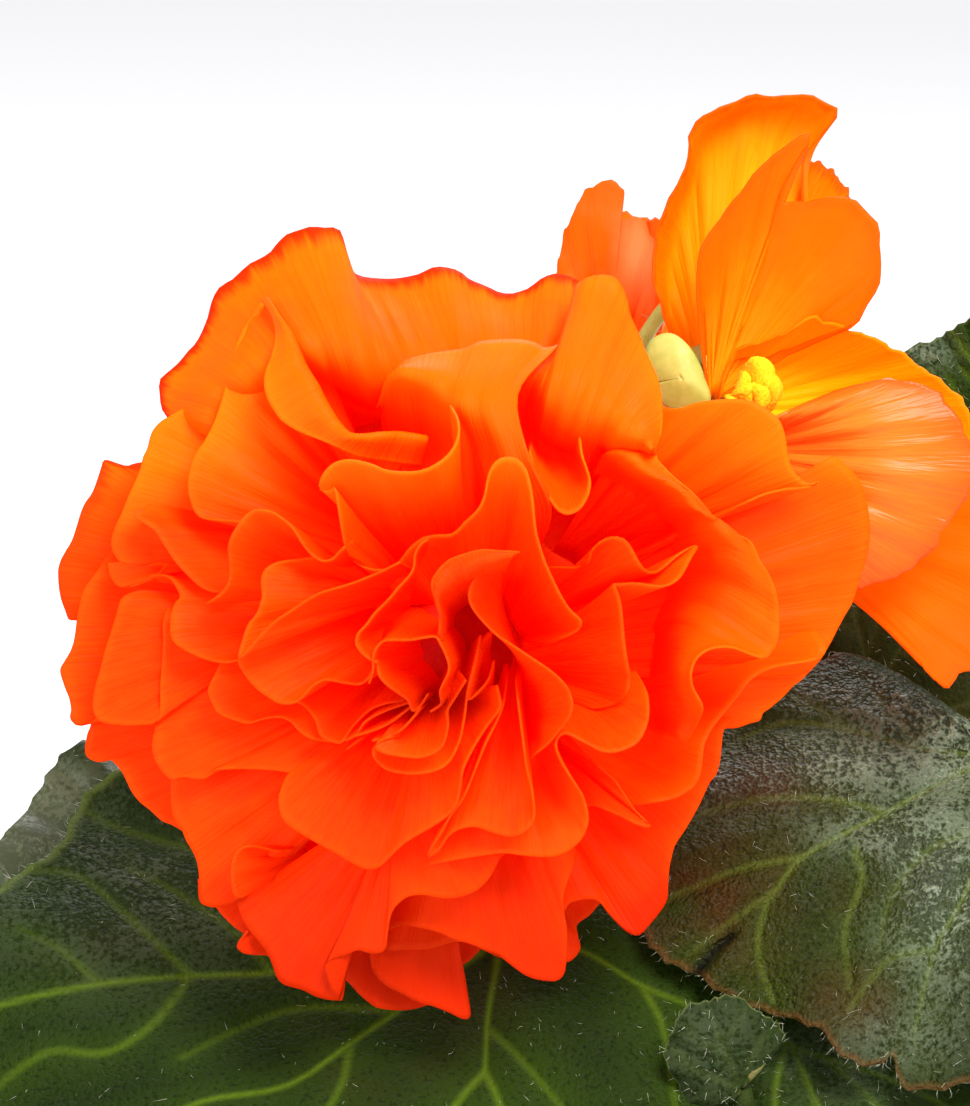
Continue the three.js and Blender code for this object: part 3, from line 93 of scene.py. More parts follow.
def surf(p, nu, nv):
    d0 = p.get('d', 8)
    curves = [catmull(fill(c, d0), nu + 1) for c in p['c']]
    rim = curves[-1]; b = p['b']
    if not isinstance(b, list):
        w = p.get('w', 24)
        a = rim[0, :2] - rim[-1, :2]
        dirv = rim[:, :2].mean(0) - np.array(b[:2]); dirv /= np.hypot(*dirv) + 1e-9
        nrm = np.array([-dirv[1], dirv[0]])
        if np.dot(nrm, a) < 0: nrm = -nrm
        t = np.linspace(0.5, -0.5, nu + 1)[:, None]
        base = np.c_[np.array(b[:2]) + nrm * t * w - dirv * (4 * t * t) * w * 0.3, np.full(nu + 1, float(b[2]))]
    else:
        base = catmull(fill(b, b[0][2]), nu + 1)
    sm = smooth(rim, max(2.0, p.get('sm', 0.05) * nu)); rough = rim - sm
    ctrl = [base]
    if len(curves) == 1:
        vm = p.get('vm', 0.5)
        mid = base * (1 - vm) + sm * vm; mid[:, 2] += p.get('g', 5.0)
        ctrl.append(mid); vs = [0, vm, 1]
    else:
        ctrl += curves[:-1]
        vs = p.get('vs') or list(np.linspace(0, 1, len(curves) + 1))
    ctrl.append(sm)
    ctrl = np.array(ctrl); vs = np.array(vs, float)
    v = 1 - (1 - np.linspace(0, 1, nv + 1)) ** 1.25
    m = np.zeros_like(ctrl)
    for i in range(len(vs)):
        if i == 0: m[i] = (ctrl[1] - ctrl[0]) / (vs[1] - vs[0])
        elif i == len(vs) - 1: m[i] = (ctrl[-1] - ctrl[-2]) / (vs[-1] - vs[-2])
        else: m[i] = 0.5 * ((ctrl[i] - ctrl[i-1]) / (vs[i] - vs[i-1]) + (ctrl[i+1] - ctrl[i]) / (vs[i+1] - vs[i]))
    G = np.empty((nv + 1, nu + 1, 3)); pw = p.get('p', 2.2)
    for j, vv in enumerate(v):
        i = min(max(np.searchsorted(vs, vv, side='right') - 1, 0), len(vs) - 2)
        h = vs[i + 1] - vs[i]; t = (vv - vs[i]) / h
        G[j] = (2*t**3 - 3*t**2 + 1) * ctrl[i] + (t**3 - 2*t**2 + t) * h * m[i] + (-2*t**3 + 3*t**2) * ctrl[i+1] + (t**3 - t**2) * h * m[i+1]
        G[j] += rough * (vv ** pw)
    tt = np.linspace(0, 1, nu + 1)[None, :]; vv = v[:, None]
    for (t0, t1, n, amp, v0, v1) in p.get('pl', []):
        win = np.clip((tt - t0) / 0.06, 0, 1) * np.clip((t1 - tt) / 0.06, 0, 1) * np.clip((vv - v0) / 0.2, 0, 1) * np.clip((v1 - vv) / 0.2, 0, 1)
        s = (tt - t0) / (t1 - t0)
        G[..., 2] += amp * win * np.sin((s + 0.06 * np.sin(9 * s + 2)) * n * 2 * np.pi + 1.1 * np.sin(2.3 * vv)) * (0.55 + 0.45 * np.sin(7 * s + 1))
    # shallow lengthwise folds and a little waviness, different on every petal
    seed = (sum(map(ord, p['n'])) * 37) % 101
    L = np.linalg.norm(np.diff(rim[:, :2], axis=0), axis=1).sum()
    k = max(2.0, L / 90.0)
    G[..., 2] += np.sin(np.pi * vv) * (0.28 * np.sin(2 * np.pi * k * tt + seed) + 0.18 * np.sin(2 * np.pi * 2.3 * k * tt + 2.1 * seed))
    return G, v

# ------------------------------------------------------------------ meshes
def new_object(name, verts, faces, mat, uv=None, attrs=None, smooth_shade=True):
    me = bpy.data.meshes.new(name)
    me.from_pydata((np.asarray(verts) * 0.001).tolist(), [], [tuple(int(i) for i in f) for f in faces])
    me.update()
    if uv is not None:
        layer = me.uv_layers.new(name="UVMap")
        loops = np.empty(len(me.loops), int); me.loops.foreach_get("vertex_index", loops)
        layer.data.foreach_set("uv", np.asarray(uv, np.float32)[loops].ravel())
    for key, val in (attrs or {}).items():
        a = me.attributes.new(key, 'FLOAT', 'POINT'); a.data.foreach_set("value", np.asarray(val, np.float32))
    if smooth_shade: me.polygons.foreach_set("use_smooth", [True] * len(me.polygons))
    ob = bpy.data.objects.new(name, me)
    bpy.context.scene.collection.objects.link(ob)
    me.materials.append(mat)
    return ob
def grid_faces(nv, nu, off=0):
    j, i = np.meshgrid(np.arange(nv), np.arange(nu), indexing='ij')
    a = off + j * (nu + 1) + i
    return np.stack([a, a + 1, a + nu + 2, a + nu + 1], -1).reshape(-1, 4)
def thick(V, nv, nu, t):
    """Closes a grid of points (nv+1, nu+1, 3) into a thin solid, its edge closed by a band of faces."""
    du = np.gradient(V, axis=1); dv = np.gradient(V, axis=0)
    n = np.cross(du, dv); l = np.linalg.norm(n, axis=-1, keepdims=True); n = n / np.maximum(l, 1e-9)
    tv = np.broadcast_to(np.asarray(t, float).reshape(-1, 1, 1) if np.ndim(t) else np.full((nv + 1, 1, 1), t), V.shape[:2] + (1,))
    A = (V + n * tv / 2).reshape(-1, 3); B = (V - n * tv / 2).reshape(-1, 3)
    f = grid_faces(nv, nu); N = (nv + 1) * (nu + 1)
    faces = [f, f[:, ::-1] + N]
    ring = list(range(nu + 1)) + [j * (nu + 1) + nu for j in range(1, nv + 1)] + [nv * (nu + 1) + i for i in range(nu - 1, -1, -1)] + [j * (nu + 1) for j in range(nv - 1, 0, -1)]
    ring = np.array(ring); nxt = np.roll(ring, -1)
    faces.append(np.stack([ring, ring + N, nxt + N, nxt], -1))
    return np.vstack([A, B]), np.vstack(faces)
def finish_piece(ob, node=None):
    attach(ob, "root")
    if node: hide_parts(*([node] if isinstance(node, str) else node))
    return ob
def tube(points, r0, r1, sides=14, steps=40, bump=0.0):
    pts = catmull(np.array(points, float), 6 * len(points))
    L = np.r_[0, np.cumsum(np.linalg.norm(np.diff(pts, axis=0), axis=1))]
    s = np.linspace(0, L[-1], steps + 1)
    c = np.c_[[np.interp(s, L, pts[:, k]) for k in range(3)]].T
    t = np.gradient(c, axis=0); t /= np.linalg.norm(t, axis=1, keepdims=True)
    u = np.cross(t[0], [0.3, 1, 0.2]); u /= np.linalg.norm(u)
    V = []
    for k in range(steps + 1):
        u = u - t[k] * np.dot(u, t[k]); u /= np.linalg.norm(u); w = np.cross(t[k], u)
        r = (r0 + (r1 - r0) * k / steps) * (1 + bump * (math.sin(k * 0.9) * 0.5 + math.sin(k * 0.37 + 1)))
        a = np.linspace(0, 2 * np.pi, sides, endpoint=False)
        V.append(c[k] + r * (np.cos(a)[:, None] * u + np.sin(a)[:, None] * w))
    V = np.vstack(V + [c[:1], c[-1:]])
    faces = []
    for k in range(steps):
        for i in range(sides):
            a = k * sides + i; b = k * sides + (i + 1) % sides
            faces.append((a, b, b + sides, a + sides))
    n = (steps + 1) * sides
    for i in range(sides):
        faces.append((n, (i + 1) % sides, i, n)); faces.append((n + 1, steps * sides + i, steps * sides + (i + 1) % sides, n + 1))
    faces = [f if f[0] != f[3] else f[:3] for f in faces]
    return V, faces, c, t
def merge(parts):
    V = []; Fc = []; off = 0
    for v, f in parts:
        V.append(np.asarray(v)); Fc += [tuple(int(i) + off for i in q) for q in f]; off += len(v)
    return np.vstack(V), Fc
def hairs(points, normals, length, radius=0.035, lean=0.35, rng=RNG):
    """Short tapering hairs, each a three-sided spike."""
    V = []; Fc = []
    for p, n in zip(points, normals):
        d = n + lean * rng.normal(size=3); d /= np.linalg.norm(d)
        u = np.cross(d, [0.1, 0.9, 0.4]); u /= np.linalg.norm(u) + 1e-9; w = np.cross(d, u)
        l = length * (0.6 + 0.7 * rng.random()); bend = 0.25 * l * rng.normal(size=3)
        a = np.array([0, 2.094, 4.189]); base = p - d * 0.1 + radius * (np.cos(a)[:, None] * u + np.sin(a)[:, None] * w)
        mid = p + d * l * 0.5 + bend * 0.25 + radius * 0.7 * (np.cos(a)[:, None] * u + np.sin(a)[:, None] * w)
        o = len(V) * 7
        V.append(np.vstack([base, mid, [p + d * l + bend]]))
        for k in range(3):
            m = (k + 1) % 3
            Fc += [(o + k, o + m, o + 3 + m, o + 3 + k), (o + 3 + k, o + 3 + m, o + 6)]
        Fc.append((o + 2, o + 1, o))
    return (np.vstack(V), Fc) if V else (np.zeros((0, 3)), [])
def value_noise(p, scale, seed=0):
    """Smooth value noise at points (n, 3)."""
    q = np.asarray(p) / scale + seed * 17.3
    i = np.floor(q).astype(int); f = q - i; f = f * f * (3 - 2 * f)
    def h(a):
        n = (a[..., 0] * 374761393 + a[..., 1] * 668265263 + a[..., 2] * 2147483647 + seed * 974711) & 0xFFFFFFFF
        n = ((n ^ (n >> 13)) * 1274126177) & 0xFFFFFFFF
        return ((n ^ (n >> 16)) & 0xFFFFFF) / float(0xFFFFFF) * 2 - 1
    r = 0
    for dx in (0, 1):
        for dy in (0, 1):
            for dz in (0, 1):
                w = (f[:, 0] if dx else 1 - f[:, 0]) * (f[:, 1] if dy else 1 - f[:, 1]) * (f[:, 2] if dz else 1 - f[:, 2])
                r = r + w * h(i + np.array([dx, dy, dz]))
    return r

# ------------------------------------------------------------------ materials
def material(name):
    m = bpy.data.materials.new(name); m.use_nodes = True
    nt = m.node_tree; nt.nodes.clear()
    return m, nt, nt.nodes, nt.links
def N(nodes, kind, **k):
    n = nodes.new(kind)
    for a, v in k.items():
        if a == 'inputs':
            for s, x in v.items(): n.inputs[s].default_value = x
        else: setattr(n, a, v)
    return n
def ramp(nodes, stops, interp='LINEAR'):
    r = nodes.new('ShaderNodeValToRGB'); r.color_ramp.interpolation = interp
    e = r.color_ramp.elements
    while len(e) < len(stops): e.new(0.5)
    for el, (pos, col) in zip(e, stops):
        el.position = pos; el.color = tuple(col) + (1,) if len(col) == 3 else col
    return r
def mixc(nodes, links, fac, a, b, blend='MIX'):
    m = nodes.new('ShaderNodeMix'); m.data_type = 'RGBA'; m.blend_type = blend
    for sock, v in ((m.inputs[0], fac), (m.inputs[6], a), (m.inputs[7], b)):
        if hasattr(v, 'links'): links.new(v, sock)
        else: sock.default_value = v if not isinstance(v, tuple) or len(v) == 4 else v + (1,)
    return m.outputs[2]
def mathn(nodes, links, op, a, b=0.0, c=None, clamp=False):
    m = nodes.new('ShaderNodeMath'); m.operation = op; m.use_clamp = clamp
    for sock, v in zip(m.inputs, (a, b, c)):
        if v is None: continue
        if hasattr(v, 'links'): links.new(v, sock)
        else: sock.default_value = v
    return m.outputs[0]

def petal_material(name, deep, light, rim, vein, body=(0.80, 0.59, 0.59), rough=0.5, spots=0.0, veins=0.18, rimf=0.26, painted_fill_light=0.30, spec=0.035, painted_fill_light_col=(1.0, 0.0, 0.0)):
    """deep/light: ramps from root to rim for tone 0 and tone 1, which on the double bloom are painted shade and painted
    light; rim and vein: colours; the emission is painted fill light that lifts the shaded parts.
    """
    m, nt, nodes, links = material(name)
    uv = N(nodes, 'ShaderNodeUVMap', uv_map="UVMap"); sep = N(nodes, 'ShaderNodeSeparateXYZ'); links.new(uv.outputs[0], sep.inputs[0])
    tone = N(nodes, 'ShaderNodeAttribute', attribute_name="tone"); seed = N(nodes, 'ShaderNodeAttribute', attribute_name="seed")
    tc = N(nodes, 'ShaderNodeTexCoord')
    A = ramp(nodes, deep, 'B_SPLINE'); B = ramp(nodes, light, 'B_SPLINE')
    blot = N(nodes, 'ShaderNodeTexNoise', inputs={'Scale': 70.0, 'Detail': 0.0, 'Roughness': 0.6}); links.new(tc.outputs['Object'], blot.inputs['Vector'])
    vv = mathn(nodes, links, 'ADD', sep.outputs[1], mathn(nodes, links, 'MULTIPLY', mathn(nodes, links, 'SUBTRACT', blot.outputs[0], 0.5), 0.16))
    links.new(vv, A.inputs[0]); links.new(vv, B.inputs[0])
    # tone carries painted light on the double bloom: lighter where light falls, deeper red where shade falls; the noise
    # adds random variation
    tn = mathn(nodes, links, 'ADD', tone.outputs['Fac'], mathn(nodes, links, 'MULTIPLY', mathn(nodes, links, 'SUBTRACT', blot.outputs[0], 0.5), 0.42), clamp=True)
    mott = N(nodes, 'ShaderNodeTexNoise', inputs={'Scale': 330.0, 'Detail': 1.0, 'Roughness': 0.75}); links.new(tc.outputs['Object'], mott.inputs['Vector'])
    tn = mathn(nodes, links, 'ADD', tn, mathn(nodes, links, 'MULTIPLY', mathn(nodes, links, 'SUBTRACT', mott.outputs[0], 0.5), 0.30), clamp=True)
    col = mixc(nodes, links, tn, A.outputs[0], B.outputs[0])
    # lengthwise veins: noise stretched along the petal
    comb = N(nodes, 'ShaderNodeCombineXYZ')
    links.new(mathn(nodes, links, 'MULTIPLY', sep.outputs[0], 58.0), comb.inputs[0]); links.new(mathn(nodes, links, 'MULTIPLY', sep.outputs[1], 2.6), comb.inputs[1]); links.new(mathn(nodes, links, 'MULTIPLY', seed.outputs['Fac'], 13.0), comb.inputs[2])
    vn = N(nodes, 'ShaderNodeTexNoise', inputs={'Scale': 1.0, 'Detail': 2.0, 'Roughness': 0.66}); links.new(comb.outputs[0], vn.inputs['Vector'])
    vr = ramp(nodes, [(0.40, (0, 0, 0)), (0.50, (1, 1, 1)), (0.60, (0, 0, 0))]); links.new(vn.outputs[0], vr.inputs[0])
    vf = mathn(nodes, links, 'MULTIPLY', vr.outputs[0], veins)
    col = mixc(nodes, links, vf, col, vein)
    # rim band, stronger where tone (painted light) is high; where the rim colour is lighter than the petal, it is
    # partly own colour and partly a painted highlight
    rr = ramp(nodes, [(0.935, (0, 0, 0)), (0.995, (1, 1, 1))], 'EASE'); links.new(mathn(nodes, links, 'ADD', sep.outputs[1], mathn(nodes, links, 'MULTIPLY', mathn(nodes, links, 'SUBTRACT', vn.outputs[0], 0.5), 0.10)), rr.inputs[0])
    col = mixc(nodes, links, mathn(nodes, links, 'MULTIPLY', mathn(nodes, links, 'MULTIPLY', rr.outputs[0], rimf), mathn(nodes, links, 'ADD', tone.outputs['Fac'], 0.35), clamp=True), col, rim)
    if spots:
        vo = N(nodes, 'ShaderNodeTexVoronoi', inputs={'Scale': 900.0}); links.new(tc.outputs['Object'], vo.inputs['Vector'])
        sr = ramp(nodes, [(0.05, (1, 1, 1)), (0.16, (0, 0, 0))]); links.new(vo.outputs[0], sr.inputs[0])
        col = mixc(nodes, links, mathn(nodes, links, 'MULTIPLY', sr.outputs[0], spots), col, (0.7, 0.06, 0.0, 1))
    # painted shade: the colour is darkened towards deep red where this attribute is set, and the emission is weaker
    # there
    painted_shade = N(nodes, 'ShaderNodeAttribute', attribute_name="painted_shade")
    col = mixc(nodes, links, painted_shade.outputs['Fac'], col, (0.55, 0.016, 0.0, 1))
    # painted fill light: a red emission that lifts the shaded parts of the petals, weaker where painted shade is set
    pr = N(nodes, 'ShaderNodeBsdfPrincipled', distribution='GGX', inputs={'Roughness': rough, 'Specular IOR Level': spec, 'Emission Color': painted_fill_light_col + (1,), 'Emission Strength': painted_fill_light})
    links.new(mathn(nodes, links, 'MULTIPLY', mathn(nodes, links, 'SUBTRACT', 1.0, painted_shade.outputs['Fac']), painted_fill_light), pr.inputs['Emission Strength'])
    bd = N(nodes, 'ShaderNodeMix', data_type='RGBA', blend_type='MULTIPLY'); bd.inputs[0].default_value = 1.0; links.new(col, bd.inputs[6]); bd.inputs[7].default_value = body + (1,)
    links.new(bd.outputs[2], pr.inputs['Base Color'])
    bp = N(nodes, 'ShaderNodeBump', inputs={'Strength': 0.36, 'Distance': 0.0006}); links.new(vn.outputs[0], bp.inputs['Height'])
    links.new(bp.outputs[0], pr.inputs['Normal'])
    out = N(nodes, 'ShaderNodeOutputMaterial'); links.new(pr.outputs[0], out.inputs[0])
    m.cycles.emission_sampling = 'NONE'
    return m
# root to rim: darker red at the root, partly the petals' own colour and partly painted shade of the bloom's depths;
# PET_DEEP serves tone 0 (painted shade), PET_LIGHT tone 1 (painted light)
PET_DEEP = [(0.0, (0.72, 0.002, 0.0)), (0.3, (0.94, 0.034, 0.0)), (0.8, (1.0, 0.054, 0.0)), (1.0, (1.0, 0.066, 0.0))]
PET_LIGHT = [(0.0, (0.92, 0.03, 0.0)), (0.35, (1.0, 0.135, 0.0)), (0.8, (1.0, 0.175, 0.0)), (1.0, (1.0, 0.22, 0.001))]
M_PETAL = petal_material("petal_double", deep=PET_DEEP, light=PET_LIGHT, rim=(1.0, 0.24, 0.004, 1), vein=(1.0, 0.13, 0.0, 1))
M_GUARD = petal_material("petal_guard", deep=PET_DEEP, light=PET_LIGHT, rim=(0.93, 0.035, 0.0, 1), vein=(1.0, 0.11, 0.0, 1), rimf=0.75, veins=0.26)
# the tepal materials carry painted fill light too; on tepal_single it is tinted orange, on the yellow inner face
# yellow-orange, to lift it in the shade of the tepal above
M_TEPAL = petal_material("tepal_single",
    deep=[(0.0, (1.0, 0.36, 0.002)), (0.3, (1.0, 0.21, 0.0)), (0.7, (1.0, 0.14, 0.0)), (1.0, (1.0, 0.10, 0.0))],
    light=[(0.0, (1.0, 0.62, 0.004)), (0.35, (1.0, 0.46, 0.001)), (0.7, (1.0, 0.33, 0.0)), (1.0, (1.0, 0.20, 0.0))],
    rim=(0.95, 0.07, 0.0, 1), vein=(1.0, 0.13, 0.0, 1), veins=0.2, rimf=0.6, painted_fill_light=0.24, painted_fill_light_col=(1.0, 0.15, 0.0))
M_TEPAL_FRONT = petal_material("tepal_reverse",
    deep=[(0.0, (1.0, 0.26, 0.004)), (0.4, (1.0, 0.22, 0.008)), (0.8, (1.0, 0.17, 0.006)), (1.0, (0.98, 0.10, 0.0))],
    light=[(0.0, (1.0, 0.36, 0.02)), (0.4, (1.0, 0.32, 0.035)), (0.8, (1.0, 0.25, 0.02)), (1.0, (0.98, 0.14, 0.004))],
    rim=(0.95, 0.06, 0.0, 1), vein=(0.98, 0.09, 0.0, 1), veins=0.20, rough=0.3, body=(0.85, 0.70, 0.70), spec=0.18, painted_fill_light=0.2)
M_CURL = petal_material("tepal_curled",
    deep=[(0.0, (1.0, 0.10, 0.0)), (0.4, (1.0, 0.13, 0.0)), (0.8, (1.0, 0.15, 0.0)), (1.0, (1.0, 0.13, 0.0))],
    light=[(0.0, (1.0, 0.40, 0.12)), (0.4, (1.0, 0.45, 0.16)), (0.8, (1.0, 0.42, 0.14)), (1.0, (1.0, 0.36, 0.10))],
    rim=(0.98, 0.12, 0.0, 1), vein=(1.0, 0.16, 0.0, 1), veins=0.14, rimf=0.3, painted_fill_light=0.15)
M_YELLOW = petal_material("tepal_yellow_inside",
    deep=[(0.0, (1.0, 0.66, 0.001)), (0.42, (1.0, 0.58, 0.0)), (0.75, (1.0, 0.42, 0.0)), (1.0, (1.0, 0.24, 0.0))],
    light=[(0.0, (1.0, 0.70, 0.002)), (0.45, (1.0, 0.62, 0.0)), (0.78, (1.0, 0.36, 0.0)), (1.0, (1.0, 0.18, 0.0))],
    rim=(1.0, 0.12, 0.0, 1), vein=(1.0, 0.34, 0.0, 1), veins=0.2, painted_fill_light=0.26, painted_fill_light_col=(1.0, 0.32, 0.0), rimf=0.3)

# ------------------------------------------------------------------ petals of the double bloom
# petals of the double bloom, back to front: name, piece, root, then curves across the petal, the last one its rim
PET=[]
def p(n,node,b,*c,**k): PET.append(dict(n=n,node=node,b=b,c=list(c),**k))
# ---------------- back layer
p('ab','petal_top_guard',[(330,560,-1),(400,545,-1),(470,545,-1),(520,570,-1)],
  [(235,470,3),(270,430,2),(316,392,0),(345,402,0),(376,414,0),(440,408,2),(520,402,3),(560,390,3)],
  [(222,450,7),(255,405,9),(314,378,10),(345,388,10.5),(378,401,10.5),(440,393,9),(520,385,8),(566,372,7)],
  [(185,432,3),(168,417,5),(162,408),(160,392),(160,380),(170,371),(180,362),(188,352),(195,345),(200,337),(205,326),(209,315),(211,305),(217,291),(223,285),(231,281),(243,270),(250,264),(260,259),(270,253),(278,243),(288,234),(298,231),(310,227),(325,228),(337,228,7),(341,234,7),(345,250),(349,266,5),(353,273,4),(362,277),(380,279),(395,279),(408,277),(420,274),(432,268),(440,267),(452,269),(460,272),(468,279),(487,287),(500,293),(512,294),(520,292),(530,288),(540,280),(550,275),(558,274),(575,279,4),(588,292,3)],
  vs=[0,.42,.5,1],d=5,pl=[(0.50,0.86,7,0.9,0.5,0.97)],p=3.0)
p('c','petal_top_tongue',[(490,590,1),(520,585,1),(560,590,1)],
  [(505,430,4),(520,430,4),(540,450,4),(560,461,4),(580,464,4),(600,464,4),(612,470,4),(640,474,5),(652,474,6)],
  [(515,395,11),(530,400,13),(540,420,14),(560,438,15),(580,441,15),(600,441,15),(612,450,15),(640,454,15),(652,456,15)],
  [(545,370,9),(550,352,8),(555,345,8),(562,335),(568,325),(571,312),(573,300),(575,288,9),(582,281),(590,277,10),(603,275),(615,278),(622,287),(627,300,10),(630,315),(640,337,10),(645,350),(652,365),(658,380,12),(662,405,13),(662,425,14),(660,440,15),(655,450,16),(656,457,16)],
  vs=[0,.36,.46,1],d=10)
p('r1','petal_upper_right',(575,560,2),
  [(645,405,8),(655,402,9),(662,405,10),(668,408),(680,408,11),(700,402),(735,399,11),(750,401),(760,405),(770,412),(778,418),(783,428,11),(786,440),(788,455),(792,468),(800,478),(810,484),(820,481,10),(812,486,10),(785,489,11),(765,494),(745,503,12),(725,514,11),(708,526,9)],d=11,g=2,w=40)
p('r2','petal_right_guard',(520,640,0),
  [(760,470,4),(780,474,5),(800,478,6),(812,478),(820,470),(828,460),(835,456,7),(842,462),(855,474),(862,485),(866,497,6),(870,525),(869,545),(866,560),(858,585),(852,603,5),(845,615),(838,628),(832,640),(825,652),(820,660,5),(805,672,4),(780,680,3)],d=6,g=4,w=60)
p('r3','petal_right_long',[(560,560,1),(565,610,1),(550,660,1),(560,700,2)],
  [(588,478,3),(625,500,3),(645,516,3),(655,530,3),(658,548,3),(655,572,3),(652,600,3),(650,640,4),(652,680,5),(656,730,6)],
  [(600,457,13),(632,478,14),(660,490,15),(672,503,15),(688,517,15),(695,532,15),(699,548,14),(690,585,12),(676,615,12),(668,650,13),(668,690,13),(670,735,11)],
  [(640,455,14),(655,452,16),(658,460,17),(665,468),(675,478),(695,495,18),(708,510),(716,520),(725,530),(735,535,18),(748,540),(755,548),(760,560),(768,573,17),(773,583),(777,597),(779,615,16),(778,640),(772,652,16),(765,658,17),(755,656),(735,648,19),(722,647),(710,649),(700,655,20),(694,663),(691,675,20),(693,688),(703,708,18),(698,722,15),(685,745,12)],
  vs=[0,.4,.52,1],d=16)
p('r7','petal_lower_right_outer',(520,690,-1),
  [(818,640,3),(823,652,4),(820,660),(808,673),(800,681),(793,686),(785,695),(770,708),(763,713),(760,720),(750,723),(738,727),(724,729),(705,745,3)],d=4,g=3,w=50)
p('r7b','petal_lower_right_inner',(520,690,1),
  [(815,630,6),(826,648,8),(820,658,8),(790,664,9),(775,667),(760,673,9),(748,682),(740,693),(730,705),(722,715,10),(712,728),(704,745,11),(702,760),(700,775,11),(695,785),(685,793),(675,798,11),(650,803,11),(635,805,10),(612,800,8)],d=10,g=-2,w=50)
p('r9','petal_lower_right_inner',(545,735,7),
  [(572,738,11),(582,750,12),(595,762,13),(605,772),(615,780),(622,790),(630,802,14),(638,813),(651,827,15),(638,825,15),(618,815),(595,806,14),(580,806,12),(565,800,10)],d=14,g=1,w=14)
p('r10','petal_bottom_right',(500,700,-2),
  [(735,715,3),(724,729,5),(722,740),(720,760),(716,775),(711,780),(706,790),(700,803),(692,818),(685,830),(675,845),(672,855),(669,870),(668,885),(667,900),(660,912),(652,922),(645,930),(640,935),(633,935),(625,930),(617,922),(608,912),(602,904),(595,900),(588,899),(578,901),(570,903),(563,912,5),(552,905,4)],d=6,g=1,w=50)
p('dbr','petal_bottom_right',(500,780,-3),
  [(612,890,0),(600,903),(590,915),(577,925),(578,938),(580,950),(568,962),(550,957)],d=0,g=0,w=30)
p('db2','petal_bottom_lobe',(440,780,-3),
  [(495,935,-1),(482,948),(470,960),(457,970),(450,985),(440,995)],d=-1,g=0,w=30)
p('b8b','petal_bottom_lobe',(420,760,-2),
  [(338,950,2),(343,965),(344,978,2),(350,984),(358,993),(367,1001),(378,1008,3),(408,1010),(432,1004,2)],d=2,g=1,w=30)
p('b8f','petal_bottom_lobe',(430,760,0),
  [(374,945,4),(370,955,5),(371,966),(376,976),(385,985),(400,993),(420,1003),(432,1006,5),(450,1013),(460,1018),(468,1019,5),(470,1013),(464,1005),(456,1000),(450,990,4),(449,975),(448,955),(450,938,4)],d=5,g=2,w=30)
p('b9','petal_bottom_left',[(350,720,1),(400,715,2),(450,720,3),(480,740,4)],
  [(512,848,14),(500,858,15),(496,866),(490,877),(480,888),(470,894,14.5),(455,898),(440,898),(425,895),(410,896,14),(400,902),(392,912,13.5),(388,925),(386,940),(384,951,12.5),(372,954,12),(358,950),(347,955,11),(335,958),(325,965,10.5),(328,980),(333,992,10),(340,1000,9.5),(325,999,9),(315,996),(303,990),(283,984,8),(277,977),(271,960,7.5),(262,945,7),(246,925,6),(236,900,5)],d=10,g=5,p=3)
p('b9d','petal_bottom_left',(345,900,3),
  [(318,955,5),(325,975,6),(333,990,6.5),(341,1001,7),(344,985,6.5),(344,965),(348,950,5),(365,945,4)],d=6,g=0,w=12)
p('b10a','petal_bottom_left',(350,800,0),
  [(198,880,3),(201,903,4),(214,906),(222,915),(232,925),(243,933),(255,940,4)],d=4,g=2,w=40)
p('b10b','petal_bottom_left',(340,860,1),
  [(255,922,5),(248,930,6),(242,938),(237,947),(243,953),(255,955),(268,956),(280,966,5)],d=6,g=1,w=20)
p('b11','petal_bottom_left',(305,850,5),
  [(290,850,8),(278,851,9),(263,848,9.5),(250,846,10),(238,850),(232,862,10),(231,878),(235,897,9.5),(243,898,9)],d=9,g=0,w=10)
p('b6','petal_bottom',(480,740,2),
  [(575,845,8),(573,865,10),(566,885,11),(563,902),(567,935,12),(566,965),(563,976),(556,981,12),(548,981),(535,979),(525,975),(515,968),(505,960),(497,954),(487,951,10.5),(478,947),(467,943,10.5),(455,940),(445,935),(430,930),(410,926,10),(397,926,9),(384,932,7)],d=11,g=4,w=50)
p('b7','petal_bottom',(460,770,1),
  [(378,944,5),(388,950,6),(402,950),(430,949,6.5),(450,943),(465,942,6.5),(480,948,6),(500,958,4)],d=6,g=2,w=30)
p('lla','petal_left_low_outer',(390,680,-2),
  [(100,690,2),(90,708,3),(91,724,4),(87,735),(86,755),(98,762,4),(110,760),(122,772),(127,782),(132,792),(140,802,4),(150,810),(162,821),(172,825),(188,836,4),(200,860,2)],d=4,g=3,w=60)
p('llb','petal_left_low',(410,700,1),
  [(180,765,6),(172,778,7),(171,800),(174,818),(182,830,7),(186,840),(192,850),(197,862),(199,875),(200,890),(202,903,6),(207,906),(216,907),(230,904,6),(242,897,6),(258,890,5)],d=6,g=4,w=50)
p('l0','petal_far_left',(330,600,-3),
  [(170,455,1),(150,461,2),(133,464),(127,466),(115,463),(104,460),(101,468),(97,480),(92,493),(85,503),(81,512),(77,525),(72,540),(65,552),(60,562),(58,572),(60,595),(66,613),(69,620),(78,621),(100,640,1)],d=2,g=1,w=40)
p('l00','petal_left_upper',(390,560,0),
  [(245,370,5),(225,391,7),(205,399),(195,402),(180,410),(168,417),(160,422),(153,430),(150,437),(147,449),(143,457),(140,470),(128,497),(122,512),(114,530),(111,543),(113,552),(120,562),(138,567),(163,562,8),(185,570,7)],d=7,g=3,w=50)
p('l6','petal_left_upper',(220,560,5),
  [(108,563,8),(110,575),(120,587,9),(140,583),(158,573),(166,564,9)],d=8.5,g=1,w=8)
p('l1','petal_left_mid',(390,640,-2),
  [(125,540,3),(112,550,4),(98,570,5),(84,590),(78,612),(74,640),(70,652),(64,662),(60,670),(65,688),(69,698),(71,710),(70,718),(76,725),(88,723),(98,715,5),(110,690,4)],d=5,g=2,w=50)
